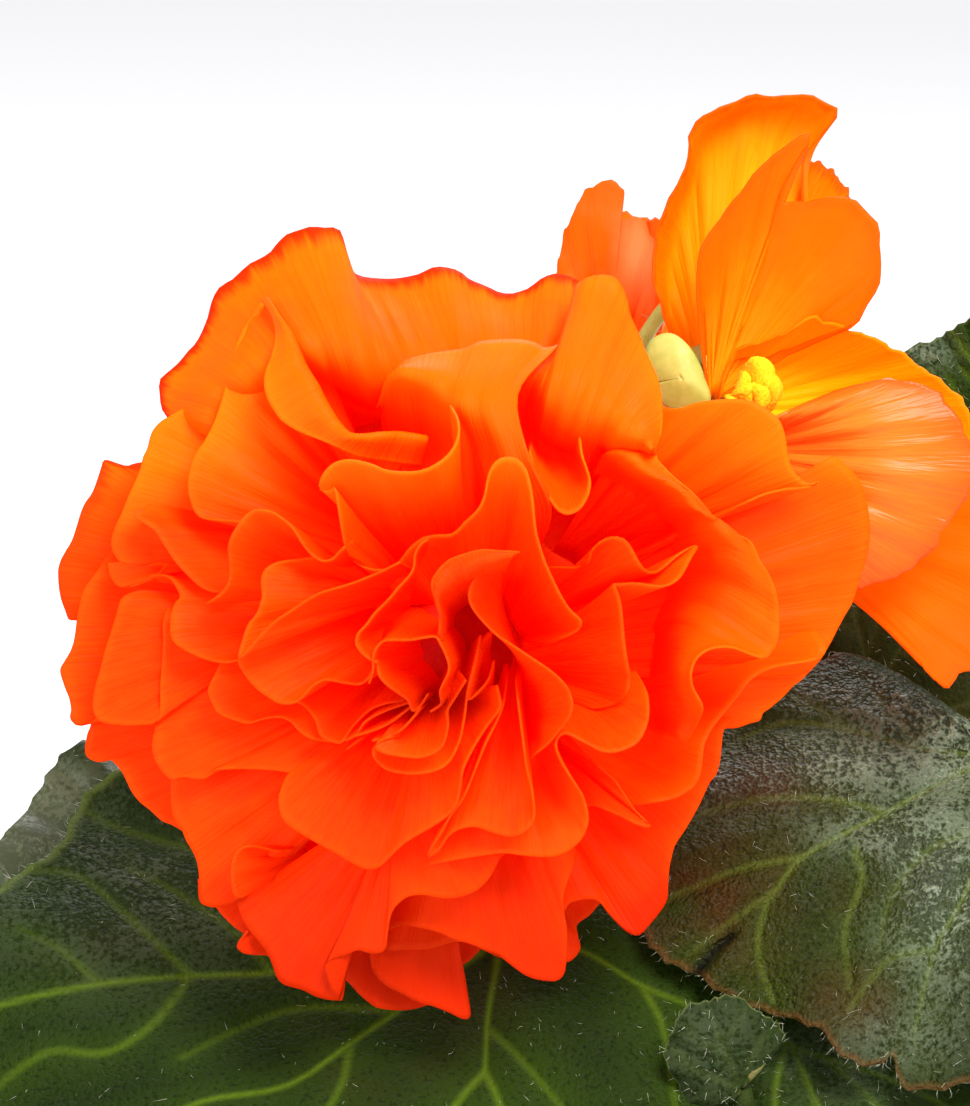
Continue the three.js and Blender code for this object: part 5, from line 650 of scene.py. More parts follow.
# ovary: three broad pale wings round a narrow middle
oc = P(682, 376, -14); ax = np.array([0.55, -0.62, 0.35]); ax /= np.linalg.norm(ax)
parts = [ellipsoid(oc + F * 2.6, (1.7, 1.8, 3.0), 0.5, 32, 20), ellipsoid(P(713, 402, -14.5), (2.3, 2.0, 2.0), 0.3, 28, 18)]
def wing(direction):
    w = direction - ax * np.dot(direction, ax); w /= np.linalg.norm(w)
    outline = [(-4.2, 0.6), (-3.4, 2.6), (-1.4, 4.1), (0.8, 4.5), (2.8, 3.7), (3.9, 2.0), (4.3, 0.5)]
    o = catmull(np.array([(a, b, 0) for a, b in outline], float), 25)
    Vg = np.zeros((9, 25, 3))
    for j in range(9):
        t = j / 8
        for i in range(25): Vg[j, i] = oc + ax * o[i, 0] * (0.85 + 0.15 * t) + w * o[i, 1] * t + np.cross(ax, w) * 0.5 * math.sin(2.2 * t) * t
    return thick(Vg, 8, 24, np.linspace(1.5, 0.35, 9))
wo = catmull(np.array([(652, 384, 0), (645, 362, 0), (648, 346, 0), (658, 336, 0), (672, 334, 0), (686, 344, 0), (697, 360, 0), (706, 382, 0), (710, 402, 0), (700, 410, 0), (682, 412, 0), (664, 406, 0), (652, 384, 0)], float), 61)[:, :2]
wg = np.zeros((9, 61, 3)); wc = np.array([682.0, 378.0])
for j in range(9):
    q = wc + (wo - wc) * (j / 8 if j else 1e-3); wg[j] = P(q[:, 0], q[:, 1], -9.8 + 0.2 * (q[:, 0] - 682) * S0 + 0.9 * (1 - (j / 8) ** 2))
parts.append(thick(wg, 8, 60, np.linspace(1.4, 0.5, 9)))
for d_ in (np.array([-0.75, -0.35, -0.2]), np.array([0.5, -0.5, -0.8]), np.array([0.1, 0.9, 0.3])): parts.append(wing(d_))
V, Fc = merge(parts)
ob = new_object("begonia_ovary", V, Fc, M_OVARY); finish_piece(ob, "ovary_winged")

# ------------------------------------------------------------------ stems and stalks
def stalk_piece(name, node, pts, r0, r1, mat, steps=60, bump=0.03, fuzz=60, slot="stalk", extra=None):
    V, Fc, c, t = tube(pts, r0, r1, 16, steps, bump); parts = [(V, Fc)] + (extra or [])
    V, Fc = merge(parts)
    ob = new_object(name, V, Fc, mat); finish_piece(ob, node)
    rng = np.random.default_rng(len(name))
    k = rng.integers(2, steps - 1, fuzz); a = rng.random(fuzz) * 6.283
    pp, nn = [], []
    for kk, aa in zip(k, a):
        u = np.cross(t[kk], [0.2, 0.8, 0.3]); u /= np.linalg.norm(u); w = np.cross(t[kk], u); n = math.cos(aa) * u + math.sin(aa) * w
        pp.append(c[kk] + n * (r0 + (r1 - r0) * kk / steps)); nn.append(n)
    return pp, nn
fuzz_p, fuzz_n = [], []
def grow(*a, **k):
    p_, n_ = stalk_piece(*a, **k); fuzz_p.extend(p_); fuzz_n.extend(n_)
grow("begonia_main_stem", "main_stem", [[0, 0, 99.6], [0.2, -0.2, 108], [0.5, -0.5, 116], [0.4, -2, 134], [0, -4, 150]], 6.2, 4.6, M_STEM, 70, 0.05, 260)
grow("begonia_peduncle", "peduncle_main", [[-0.4, -3.6, 150], [-2, -1, 166], [-3.6, -3, 180], [-4.4, -13, 189.5], [-4.5, -26, 191.6], P(430, 640, -3.2)], 2.9, 2.5, M_STALK, 60, 0.02, 160)
grow("begonia_pedicel_female", "pedicel_female", [[2.0, -2.4, 149], [7, -5, 166], P(560, 620, -32), P(640, 480, -25), P(668, 402, -17), P(676, 388, -15)], 1.9, 1.3, M_STALK, 60, 0.02, 120)
grow("begonia_pedicel_back", "pedicel_back", [[1.2, 1.2, 149], [6, 8, 176], [14, 13, 200], P(632, 352, -44), P(622, 362, -45)], 1.7, 1.3, M_STALK, 50, 0.02, 90)
bc = P(690, 282, -32)
grow("begonia_side_bud", "side_bud", [P(636, 352, -39), P(648, 332, -37), P(662, 312, -35), P(684, 290, -33)], 0.95, 0.9, M_OVARY, 24, 0.02, 20, extra=[ellipsoid(bc, (3.0, 3.0, 4.3), 0.5, 28, 18, 0.04)])

# ------------------------------------------------------------------ leaves
def leaf_material(name, dark, mid, bronze, vein, rough=0.5, spec=0.12, grain=0.35, vein_f=0.8, painted_sheen=(0.17, 0.21, 0.13), edge=(0.16, 0.055, 0.015), painted_sheen_base=0.03):
    m, nt, nodes, links = material(name)
    tc = N(nodes, 'ShaderNodeTexCoord')
    at = {k: N(nodes, 'ShaderNodeAttribute', attribute_name=k).outputs['Fac'] for k in ("vein", "edge", "upper", "halo", "gloss", "brown", "slit")}
    n1 = N(nodes, 'ShaderNodeTexNoise', inputs={'Scale': 30.0, 'Detail': 2.0, 'Roughness': 0.6}); links.new(tc.outputs['Object'], n1.inputs['Vector'])
    r1 = ramp(nodes, [(0.32, dark), (0.70, mid)]); links.new(n1.outputs[0], r1.inputs[0])
    col = mixc(nodes, links, mathn(nodes, links, 'MULTIPLY', at["halo"], 0.55), r1.outputs[0], (mid[0] * 1.7, mid[1] * 1.75, mid[2] * 1.0, 1))
    n2 = N(nodes, 'ShaderNodeTexNoise', inputs={'Scale': 45.0, 'Detail': 2.0, 'Roughness': 0.72}); links.new(tc.outputs['Object'], n2.inputs['Vector'])
    r2 = ramp(nodes, [(0.36, (0, 0, 0)), (0.60, (1, 1, 1))]); links.new(n2.outputs[0], r2.inputs[0])
    col = mixc(nodes, links, mathn(nodes, links, 'MULTIPLY', r2.outputs[0], at["brown"], clamp=True), col, bronze + (1,))
    gn = N(nodes, 'ShaderNodeTexNoise', inputs={'Scale': 1500.0, 'Detail': 1.0, 'Roughness': 0.75}); links.new(tc.outputs['Object'], gn.inputs['Vector'])
    g2 = N(nodes, 'ShaderNodeTexNoise', inputs={'Scale': 190.0, 'Detail': 2.0, 'Roughness': 0.7}); links.new(tc.outputs['Object'], g2.inputs['Vector'])
    g3 = N(nodes, 'ShaderNodeTexNoise', inputs={'Scale': 62.0, 'Detail': 1.0, 'Roughness': 0.6}); links.new(tc.outputs['Object'], g3.inputs['Vector'])
    gsum = mathn(nodes, links, 'ADD', mathn(nodes, links, 'MULTIPLY', gn.outputs[0], 0.42), mathn(nodes, links, 'MULTIPLY', g2.outputs[0], 0.32))
    gr = ramp(nodes, [(0.485, (0, 0, 0)), (0.575, (1, 1, 1))]); links.new(mathn(nodes, links, 'ADD', gsum, mathn(nodes, links, 'MULTIPLY', g3.outputs[0], 0.30)), gr.inputs[0])
    speck = ramp(nodes, [(0.30, (0.45,) * 3), (0.46, (1, 1, 1))]); links.new(gn.outputs[0], speck.inputs[0])
    dk = N(nodes, 'ShaderNodeMix', data_type='RGBA', blend_type='MULTIPLY'); dk.inputs[0].default_value = 0.8; links.new(col, dk.inputs[6]); links.new(speck.outputs[0], dk.inputs[7]); col = dk.outputs[2]
    # painted sheen: a grey-green reflection mixed into the base colour by the grain and the gloss zones; the gloss
    # zones also raise the specular level
    shine = mathn(nodes, links, 'MULTIPLY', gr.outputs[0], at["gloss"], clamp=True)
    vr = ramp(nodes, [(0.10, (0, 0, 0)), (0.90, (1, 1, 1))]); links.new(at["vein"], vr.inputs[0])
    col = mixc(nodes, links, mathn(nodes, links, 'MULTIPLY', vr.outputs[0], vein_f), col, vein + (1,))
    col = mixc(nodes, links, mathn(nodes, links, 'ADD', mathn(nodes, links, 'MULTIPLY', shine, 0.85), mathn(nodes, links, 'MULTIPLY', at["gloss"], painted_sheen_base), clamp=True), col, painted_sheen + (1,))
    col = mixc(nodes, links, mathn(nodes, links, 'MULTIPLY', at["edge"], 0.8), col, edge + (1,))
    # painted shade: near-black along the slit, where the gap in the leaf lies in shade
    col = mixc(nodes, links, at["slit"], col, (0.003, 0.004, 0.002, 1))
    under = mixc(nodes, links, 0.5, (0.15, 0.09, 0.03, 1), (0.13, 0.17, 0.05, 1))
    col = mixc(nodes, links, at["upper"], under, col)
    pr = N(nodes, 'ShaderNodeBsdfPrincipled', distribution='GGX', inputs={'Specular IOR Level': spec})
    links.new(col, pr.inputs['Base Color'])
    links.new(mathn(nodes, links, 'SUBTRACT', rough, mathn(nodes, links, 'MULTIPLY', shine, 0.12)), pr.inputs['Roughness'])
    links.new(mathn(nodes, links, 'ADD', spec, mathn(nodes, links, 'MULTIPLY', at["gloss"], 0.25)), pr.inputs['Specular IOR Level'])
    h = mathn(nodes, links, 'ADD', mathn(nodes, links, 'MULTIPLY', gn.outputs[0], 0.7), mathn(nodes, links, 'MULTIPLY', g2.outputs[0], 0.8))
    bp = N(nodes, 'ShaderNodeBump', inputs={'Strength': grain, 'Distance': 0.0010}); links.new(h, bp.inputs['Height']); links.new(bp.outputs[0], pr.inputs['Normal'])
    out = N(nodes, 'ShaderNodeOutputMaterial'); links.new(pr.outputs[0], out.inputs[0])
    return m
M_LEAF = leaf_material("leaf_dark", (0.006, 0.013, 0.002), (0.014, 0.028, 0.002), (0.028, 0.014, 0.003), (0.10, 0.165, 0.007), 0.5, 0.04, 0.6, 0.66, edge=(0.20, 0.27, 0.05))
M_LEAF_GLOSS = leaf_material("leaf_bronze_gloss", (0.008, 0.013, 0.002), (0.018, 0.028, 0.003), (0.050, 0.014, 0.002), (0.11, 0.15, 0.02), 0.40, 0.07, 1.0, 0.7)
M_LEAF_SMALL = leaf_material("leaf_young", (0.006, 0.010, 0.002), (0.012, 0.020, 0.004), (0.035, 0.022, 0.008), (0.07, 0.10, 0.02), 0.5, 0.03, 0.4, 0.4, edge=(0.16, 0.21, 0.06))
# leaf_left_back carries painted sheen over its whole face as well as in its gloss zones
M_LEAF_BACK = leaf_material("leaf_back_painted_sheen", (0.010, 0.018, 0.003), (0.022, 0.040, 0.006), (0.035, 0.022, 0.008), (0.09, 0.13, 0.02), 0.42, 0.10, 0.15, 0.5, painted_sheen=(0.13, 0.145, 0.075), edge=(0.05, 0.08, 0.02), painted_sheen_base=0.5)
M_LEAF_SHADE = leaf_material("leaf_shaded", (0.006, 0.008, 0.002), (0.015, 0.016, 0.003), (0.030, 0.011, 0.003), (0.05, 0.05, 0.012), 0.5, 0.04, 0.4, 0.5)

def seg_dist(X, Y, line, w0, w1, w_min=3.7):
    """Distance to a polyline over its local width; the width falls from w0 to w1 along it."""
    pts = catmull(np.array([(a, b, 0) for a, b in line], float), 24)[:, :2] if len(line) > 2 else np.linspace(line[0], line[-1], 8)
    L = np.r_[0, np.cumsum(np.linalg.norm(np.diff(pts, axis=0), axis=1))]; L /= L[-1]
    w_min = w_min if w0 > 3 else w_min + 1.2
    val = np.zeros(X.shape); raw = np.full(X.shape, 1e9)
    for k in range(len(pts) - 1):
        ax_, ay_ = pts[k]; bx_, by_ = pts[k + 1]; dx, dy = bx_ - ax_, by_ - ay_
        t = np.clip(((X - ax_) * dx + (Y - ay_) * dy) / (dx * dx + dy * dy + 1e-9), 0, 1)
        d = np.hypot(X - ax_ - t * dx, Y - ay_ - t * dy)
        w = w0 + (w1 - w0) * (L[k] + (L[k + 1] - L[k]) * t)
        wm = np.maximum(w, w_min); val = np.maximum(val, np.clip((w / 4.0), 0.12, 1) ** 0.8 * np.exp(-(d / wm) ** 2)); raw = np.minimum(raw, d)
    return val, raw
leaf_hair_p, leaf_hair_n = [], []
def leaf_piece(name, node, J, outline, veins, mapping, mat, petiole, nt=260, nr=64, droop=2.5, thick_mm=0.55, quilt=0.9, wave=0.8, teeth=5.0, stem_r=2.2, hair=200, seed=1, edge_red=0.25, gloss=(), brown=(), slit=None, rough_mm=0.12):
    rng = np.random.default_rng(seed)
    O = catmull(np.array([(a, b, 0) for a, b in outline], float), nt + 1)[:, :2]
    if J[0] != 0:
        F_ = catmull(np.array([(a, b, 0) for a, b in outline], float), 1500)[:, :2]
        wt = np.where((F_[:-1, 0] < -10) | (F_[:-1, 1] > 1116) | (F_[:-1, 0] > 985), 0.75, 1.0) * np.linalg.norm(np.diff(F_, axis=0), axis=1)
        cum = np.r_[0, np.cumsum(wt)]; k_ = np.interp(np.linspace(0, cum[-1], nt + 1), cum, np.arange(1500))
        O = np.stack([np.interp(k_, np.arange(1500), F_[:, 0]), np.interp(k_, np.arange(1500), F_[:, 1])], -1)
    O = smooth(np.c_[O, np.zeros(len(O))], 1.3)[:, :2]
    J2 = np.array(J[:2], float)
    s = np.linspace(0, 1, nt + 1)
    ang = O - J2; rad = np.linalg.norm(ang, axis=1, keepdims=True)
    env = np.clip(np.minimum(s, 1 - s) / 0.05, 0, 1)
    tooth = env * teeth * (np.abs(((s * nt / 7.0 + 0.35 * np.sin(s * 31 + seed)) % 1) - 0.35) * 1.4 - 0.5) + env * 3.0 * np.sin(s * 40 + seed) * 0.6
    O = O + ang / rad * tooth[:, None]
    r = np.linspace(0, 1, nr + 1) ** 0.85
    X = J2[0] + (O[:, 0] - J2[0])[None, :] * r[:, None]; Y = J2[1] + (O[:, 1] - J2[1])[None, :] * r[:, None]
    vein = np.zeros(X.shape); raw = np.full(X.shape, 1e9)
    for line, w0, w1 in veins:
        b_, r_ = seg_dist(X, Y, line, w0, w1); vein = np.maximum(vein, b_); raw = np.minimum(raw, r_)
    halo = np.exp(-(raw / 30.0) ** 1.2)
    zone = lambda zs: np.clip(sum([a_ * np.exp(-(((X - x_) / rx_) ** 2 + ((Y - y_) / ry_) ** 2)) for x_, y_, rx_, ry_, a_ in zs], np.zeros(X.shape)), 0, 1)
    # gloss zones mark where the painted sheen goes
    gl, br = zone(gloss), zone(brown)
    sl = seg_dist(X, Y, slit, 6.0, 4.0, 3.6)[0] ** 0.7 if slit else np.zeros(X.shape)
    rr = np.broadcast_to(r[:, None], X.shape)
    pts3 = np.stack([X.ravel(), Y.ravel(), np.zeros(X.size)], -1)
    nse = value_noise(pts3, 60, seed).reshape(X.shape); nse2 = value_noise(pts3, 22, seed + 3).reshape(X.shape)
    bulge = 1 - np.exp(-(raw / 26.0) ** 1.3)
    D = droop * 4 * rr * (1 - rr) + quilt * (bulge - 0.5) * np.clip(rr * 6, 0, 1) + rough_mm * nse * np.clip(rr * 4, 0, 1) + 0.3 * rough_mm * nse2 * np.clip(rr * 4, 0, 1)
    D = D - 0.30 * vein * np.clip(rr * 8, 0, 1) - 1.5 * sl
    D = D + wave * rr ** 3 * np.sin(s * 2 * np.pi * 7 + seed)[None, :] + 0.5 * wave * rr ** 4 * np.sin(s * 2 * np.pi * 17 + 2 * seed)[None, :]
    V3 = mapping(X, Y, D)
    V, Fc = thick(V3, nr, nt, np.linspace(thick_mm, thick_mm * 0.55, nr + 1))
    # which side is the upper one
    n_front = np.cross(np.gradient(V3, axis=1), np.gradient(V3, axis=0))
    probe = mapping(X, Y, D + 1.0) - V3
    up_first = float((n_front * probe).sum()) > 0
    half = X.size
    upper = np.r_[np.ones(half), np.zeros(half)] if up_first else np.r_[np.zeros(half), np.ones(half)]
    edge = np.clip((rr - 0.975) / 0.02, 0, 1) * edge_red
    vv = np.r_[vein.ravel(), vein.ravel()]; ee = np.r_[edge.ravel(), edge.ravel()]
    uv = np.stack([np.broadcast_to(s[None, :], X.shape), rr], -1).reshape(-1, 2)
    parts = [(V, Fc)]
    tv, tf, c, t = tube([np.array(q, float) for q in petiole] + [V3[0, 0] - 0.0 * probe[0, 0]], stem_r, stem_r * 0.8, 14, 40, 0.03)
    parts.append((tv, tf)); Vm, Fm = merge(parts)
    z = len(tv)
    ob = new_object(name, Vm, Fm, mat, np.vstack([uv, uv, np.zeros((z, 2))]), {"vein": np.r_[vv, np.full(z, 0.55)], "edge": np.r_[ee, np.zeros(z)], "upper": np.r_[upper, np.ones(z)],
        "halo": np.r_[halo.ravel(), halo.ravel(), np.full(z, 0.5)], "gloss": np.r_[gl.ravel(), gl.ravel(), np.zeros(z)], "brown": np.r_[br.ravel(), br.ravel(), np.zeros(z)], "slit": np.r_[sl.ravel(), sl.ravel(), np.zeros(z)]})
    finish_piece(ob, node)
    # hairs: along the rim and scattered over the upper face
    un = probe / np.linalg.norm(probe, axis=-1, keepdims=True)
    for k in rng.integers(3, nt - 3, hair // 2):
        o = V3[-1, k] - V3[-3, k]; o /= np.linalg.norm(o) + 1e-9
        leaf_hair_p.append(V3[-1, k]); leaf_hair_n.append(o + 0.5 * un[-1, k] + 0.5 * rng.normal(size=3))
    for _ in range(hair):
        j, i = rng.integers(6, nr), rng.integers(3, nt - 3)
        leaf_hair_p.append(V3[j, i] + un[j, i] * 0.2); leaf_hair_n.append(un[j, i] + 0.7 * rng.normal(size=3))
    for k in rng.integers(4, 38, max(20, hair // 6)):
        n = np.cross(t[k], rng.normal(size=3)); n /= np.linalg.norm(n) + 1e-9
        leaf_hair_p.append(c[k] + n * stem_r * 0.9); leaf_hair_n.append(n)
    return ob
def face_map(J, sy, sx):
    return lambda X, Y, D: P(X, Y, J[2] + sy * (Y - J[1]) * S0 + sx * (X - J[0]) * S0 + D)
def frame_map(J3, along, normal, flip):
    al = np.array(along, float); al /= np.linalg.norm(al); nn = np.array(normal, float); nn /= np.linalg.norm(nn)
    sd = np.cross(nn, al); sd /= np.linalg.norm(sd); nn = np.cross(al, sd) * (1 if np.dot(np.cross(al, sd), nn) > 0 else -1)
    J3 = np.array(J3, float)
    return lambda X, Y, D: J3 + al * (X * S0)[..., None] + sd * (Y * S0 * (-1 if flip else 1))[..., None] + nn * D[..., None]
def auto_veins(J, outline, mains, seed=0, w=5.0):
    """Palmate veins from the junction to chosen outline points, each with side veins."""
    out = []; J = np.array(J[:2], float); O = np.array([(a, b) for a, b in [q[:2] for q in outline]], float)
    for k, m_ in enumerate(mains):
        e = J + (O[m_] - J) * 0.97; d = e - J; n = np.array([-d[1], d[0]]); bend = 0.07 * (1 if k % 2 else -1)
        line = [tuple(J + d * t + n * bend * math.sin(math.pi * t)) for t in (0, 0.25, 0.5, 0.75, 1)]
        out.append((line, w, w * 0.35))
        for t, sg in ((0.38, 1), (0.52, -1), (0.68, 1), (0.82, -1)):
            a = J + d * t + n * bend * math.sin(math.pi * t); q = a + d * (0.9 - t) * 0.55 + n * sg * 0.24 * (1.05 - t)
            out.append(([tuple(a), tuple((a + q) / 2 + n * sg * 0.02), tuple(q)], w * 0.45, w * 0.2))
    return out

L1 = dict(J=(500, 940, -14), sy=0.75, sx=0.05)
O1 = [(508,930),(520,890),(590,850),(650,880),(700,930),(730,980),(740,1040),(720,1110),(690,1180),(600,1240),(480,1290),(350,1300),(200,1290),(60,1260),(-60,1230),(-150,1180),(-140,1080),(-110,990),(-60,920),(0,888),(19,872),(57,850),(86,796),(115,773),(180,740),(260,740),(340,770),(420,820),(470,870),(492,928)]
V1 = [([(500,940),(400,955),(274,974),(191,977),(100,985),(0,1006),(-130,1050)],5.0,2.2), ([(191,977),(127,917),(80,878),(30,870)],2.4,1.2), ([(191,977),(153,1025),(105,1054),(45,1054),(-50,1130)],2.4,1.2),
  ([(500,940),(398,1012),(351,1044),(287,1087),(191,1106),(40,1200)],4.6,2.0), ([(351,1044),(340,1090),(300,1150),(260,1230)],2.2,1.0), ([(398,1012),(300,1010),(240,1030),(180,1060)],2.0,1.0),
  ([(500,940),(497,965),(488,1019),(485,1073)],5.0,3.2), ([(485,1073),(456,1106),(400,1200),(380,1270)],3.0,1.2), ([(485,1073),(500,1106),(540,1250)],3.0,1.2), ([(488,1030),(520,1060),(570,1120),(620,1200)],1.8,0.9),
  ([(500,940),(581,952),(642,987),(687,1005),(730,1020)],4.2,1.4), ([(642,987),(663,1030),(680,1150)],2.2,1.0),
  ([(500,940),(400,880),(250,800),(150,760)],3.8,1.4), ([(400,880),(330,880),(230,860),(120,830),(90,815)],2.4,1.1), ([(500,940),(560,900),(640,880)],3.0,1.2), ([(274,974),(230,930),(170,890),(130,870)],2.0,0.9), ([(100,985),(60,950),(20,930)],1.6,0.8), ([(0,1006),(-30,1050),(-60,1080)],1.6,0.8)]
leaf_piece("begonia_leaf_front_large", "leaf_front_large", L1['J'], O1, V1, face_map(L1['J'], 0.75, 0.05), M_LEAF, [[1,-4,126],[2.4,-14,134],[3.4,-26,146]], 420, 76, 2.5, 0.6, 0.6, 0.9, 6.0, 2.6, 560, 3, 0.5,
  gloss=((130,880,150,90,.26),), brown=((380,1050,70,45,.8),(470,1000,60,40,.5),(90,950,60,30,.3)))
J2 = (1000, 762, -22)
O2 = [(1012,752),(990,735),(970,723),(929,694),(903,677),(871,660),(842,652),(823,658),(760,690),(700,740),(660,800),(640,870),(636,920),(642,936),(652,952),(668,965),(694,974),(735,1000),(800,1023),(826,1036),(832,1052),(871,1068),(894,1055),(900,1084),(929,1090),(970,1084),(1040,1060),(1090,1000),(1100,900),(1070,820),(1024,776)]
V2 = [([(1000,762),(970,768),(887,813),(803,858),(777,890),(765,910),(758,955),(774,1003)],4.6,1.8), ([(1000,762),(970,755),(919,748),(855,732),(790,723),(740,740)],3.8,1.4), ([(855,850),(862,880),(845,930),(850,990)],2.2,1.0),
  ([(1000,762),(985,830),(965,895),(935,950),(915,1030)],3.8,1.5), ([(1000,762),(1030,860),(1040,960),(1020,1040)],3.4,1.3), ([(935,950),(890,960),(850,1010)],1.8,0.9), ([(803,858),(740,870),(690,890),(655,905)],2.0,0.9), ([(777,890),(720,930),(690,955)],1.6,0.8), ([(887,813),(830,800),(760,800),(700,815)],1.9,0.9), ([(919,748),(880,700),(865,680)],1.6,0.8), ([(855,732),(800,700),(770,695)],1.4,0.7), ([(985,830),(930,850),(890,900),(880,950)],1.7,0.8)]
leaf_piece("begonia_leaf_right", "leaf_right_glossy", J2, O2, V2, face_map(J2, 0.7, 0.0), M_LEAF_GLOSS, [[3,-2,134],[18,-4,146],[40,-10,160]], 320, 78, 3.0, 0.6, 1.25, 0.8, 5.0, 2.4, 320, 5, 0.5,
  gloss=((880,690,100,34,.7),(950,740,80,40,.95),(810,765,110,30,.75),(700,790,60,30,.4),(945,890,55,90,.95),(860,830,60,30,.45),(900,1040,60,30,.3)), brown=((760,785,60,34,.9),(695,900,60,55,1.2),(800,870,60,40,.9),(845,655,90,14,1.0),(850,1000,45,35,.6),(740,960,40,30,.4)), slit=[(698,973),(715,952),(733,936)], rough_mm=0.25)
J3 = (742, 1088, 2)
O3 = [(735,1100),(726,1105),(700,1112),(680,1090),(666,1060),(668,1036),(675,1022),(681,1013),(690,1005),(706,999),(726,995),(760,1010),(784,1035),(780,1048),(765,1058),(755,1068),(748,1084)]
V3_ = [([(742,1088),(725,1050),(710,1010)],2.4,1.0), ([(742,1088),(700,1070),(675,1050)],2.0,0.9), ([(742,1088),(755,1050),(770,1030)],2.0,0.9), ([(725,1050),(700,1040),(685,1025)],1.3,0.7), ([(720,1040),(740,1020),(745,1008)],1.2,0.6)]
leaf_piece("begonia_leaf_small", "leaf_small_round", J3, O3, V3_, face_map(J3, -0.25, -0.02), M_LEAF_SMALL, [[2,-5,110],[20,-26,112],[31,-46,124],[34,-56,136]], 160, 34, 1.2, 0.5, 0.35, 0.4, 3.0, 1.4, 60, 8, 0.5, gloss=((715,1045,50,50,.16),))
J4 = (772, 1006, -13.7)
O4 = [(782,998),(820,990),(870,1000),(930,1040),(990,1100),(1010,1180),(980,1250),(900,1290),(820,1280),(760,1240),(730,1190),(715,1120),(715,1060),(735,1020),(762,998)]
V4 = [([(772,1006),(787,1045),(826,1060),(900,1085),(985,1130)],3.6,1.4), ([(787,1045),(800,1065),(820,1110),(860,1180),(900,1240)],3.2,1.2), ([(787,1045),(775,1100),(790,1180),(820,1260)],2.6,1.1), ([(772,1006),(745,1080),(735,1160)],2.4,1.0), ([(826,1060),(870,1100),(920,1160),(960,1220)],1.8,0.8), ([(800,1065),(812,1100),(820,1140)],1.8,0.8)]
leaf_piece("begonia_leaf_lower_right", "leaf_lower_right", J4, O4, V4, face_map(J4, 0.85, 0.1), M_LEAF, [[4,-4,118],[18,-16,124],[28,-32,136]], 180, 46, 2.0, 0.55, 0.5, 0.8, 5.0, 1.8, 260, 9, 0.1, gloss=((860,1060,80,40,.3),))
J5 = (190, 880, -34)
O5 = [(196,868),(170,800),(140,775),(115,765),(86,740),(57,764),(32,799),(0,840),(-60,900),(-110,960),(-120,1030),(-60,1070),(40,1060),(130,1010),(180,940),(197,892)]
leaf_piece("begonia_leaf_left_back", "leaf_left_back", J5, O5, auto_veins(J5, O5, (3, 6, 8, 10, 12), 1), face_map(J5, 0.5, -0.05), M_LEAF_BACK, [[-3,0,132],[-14,4,144],[-24,2,156]], 180, 46, 2.5, 0.55, 0.5, 0.8, 4.0, 2.0, 260, 11, 0.0, gloss=((45,805,60,45,.95),(0,860,50,40,.8)))
J6 = (1010, 452, -52)
O6 = [(1000,462),(960,430),(939,390),(925,365),(900,352),(920,345),(935,341),(950,328),(970,317),(1020,300),(1080,320),(1110,370),(1104,420),(1070,456),(1022,466)]
leaf_piece("begonia_leaf_right_back", "leaf_right_back", J6, O6, auto_veins(J6, O6, (4, 7, 9, 11), 2), face_map(J6, -0.25, 0.1), M_LEAF, [[3,3,136],[22,10,160],[48,14,190]], 180, 36, 2.0, 0.55, 0.5, 0.7, 4.0, 2.0, 140, 12, 0.2, gloss=((920,352,30,20,.6),))
J7 = (870, 720, -38)
O7 = [(860,712),(800,690),(770,640),(780,590),(830,560),(900,545),(970,560),(1030,600),(1060,660),(1040,720),(980,750),(884,726)]
leaf_piece("begonia_leaf_shaded", "leaf_shaded", J7, O7, auto_veins(J7, O7, (2, 4, 6, 8), 3), face_map(J7, 0.12, 0.0), M_LEAF_SHADE, [[3,1,140],[14,2,156],[30,4,170]], 180, 36, 2.0, 0.55, 0.5, 0.7, 4.0, 2.0, 120, 13, 0.2)
GEN = [(0.02,0.03),(-0.1,0.07),(-0.16,0.18),(-0.1,0.28),(0.02,0.34),(0.2,0.37),(0.42,0.35),(0.64,0.28),(0.84,0.16),(1.04,-0.02),(0.92,-0.18),(0.74,-0.32),(0.52,-0.43),(0.28,-0.5),(0.04,-0.52),(-0.14,-0.46),(-0.24,-0.32),(-0.22,-0.16),(-0.12,-0.06),(0.02,-0.01)]
for (nm, node, J3_, al, nr_, ln, dr, th, fl, pet, sd, mt) in (
    ("begonia_leaf_rear", "leaf_rear", [4,30,168], [0.15,0.95,-0.12], [0,0.2,1], 66, 4, 2.4, False, [[0.6,4,128],[2,14,144],[4,24,160]], 21, M_LEAF),
    ("begonia_leaf_rear_left", "leaf_rear_left", [-22,20,162], [-0.2,0.93,-0.22], [-0.1,0.1,1], 58, 4, 2.2, True, [[-3.6,2,122],[-12,8,138],[-21,14,152]], 22, M_LEAF_GLOSS)):
    K = ln / S0; Og = [(a * K, b * K) for a, b in GEN]
    leaf_piece(nm, node, (0, 0), Og, auto_veins((0, 0), Og, (4, 6, 9, 11, 13, 16), sd, 6.0), frame_map(J3_, al, nr_, fl), mt, pet, 170, 42, dr, 0.6, 0.6, 0.9, 6.0, th, 260, sd, 0.3, gloss=((250,60,160,120,.5),), brown=((420,-150,120,90,.6),))

V, Fc = hairs(leaf_hair_p, leaf_hair_n, 1.2, 0.026, 0.5)
ob = new_object("begonia_leaf_hairs", V, Fc, M_HAIR); finish_piece(ob, None)
V, Fc = hairs(fuzz_p, fuzz_n, 1.3, 0.035, 0.5)
ob = new_object("begonia_stem_hairs", V, Fc, M_HAIR); finish_piece(ob, None)

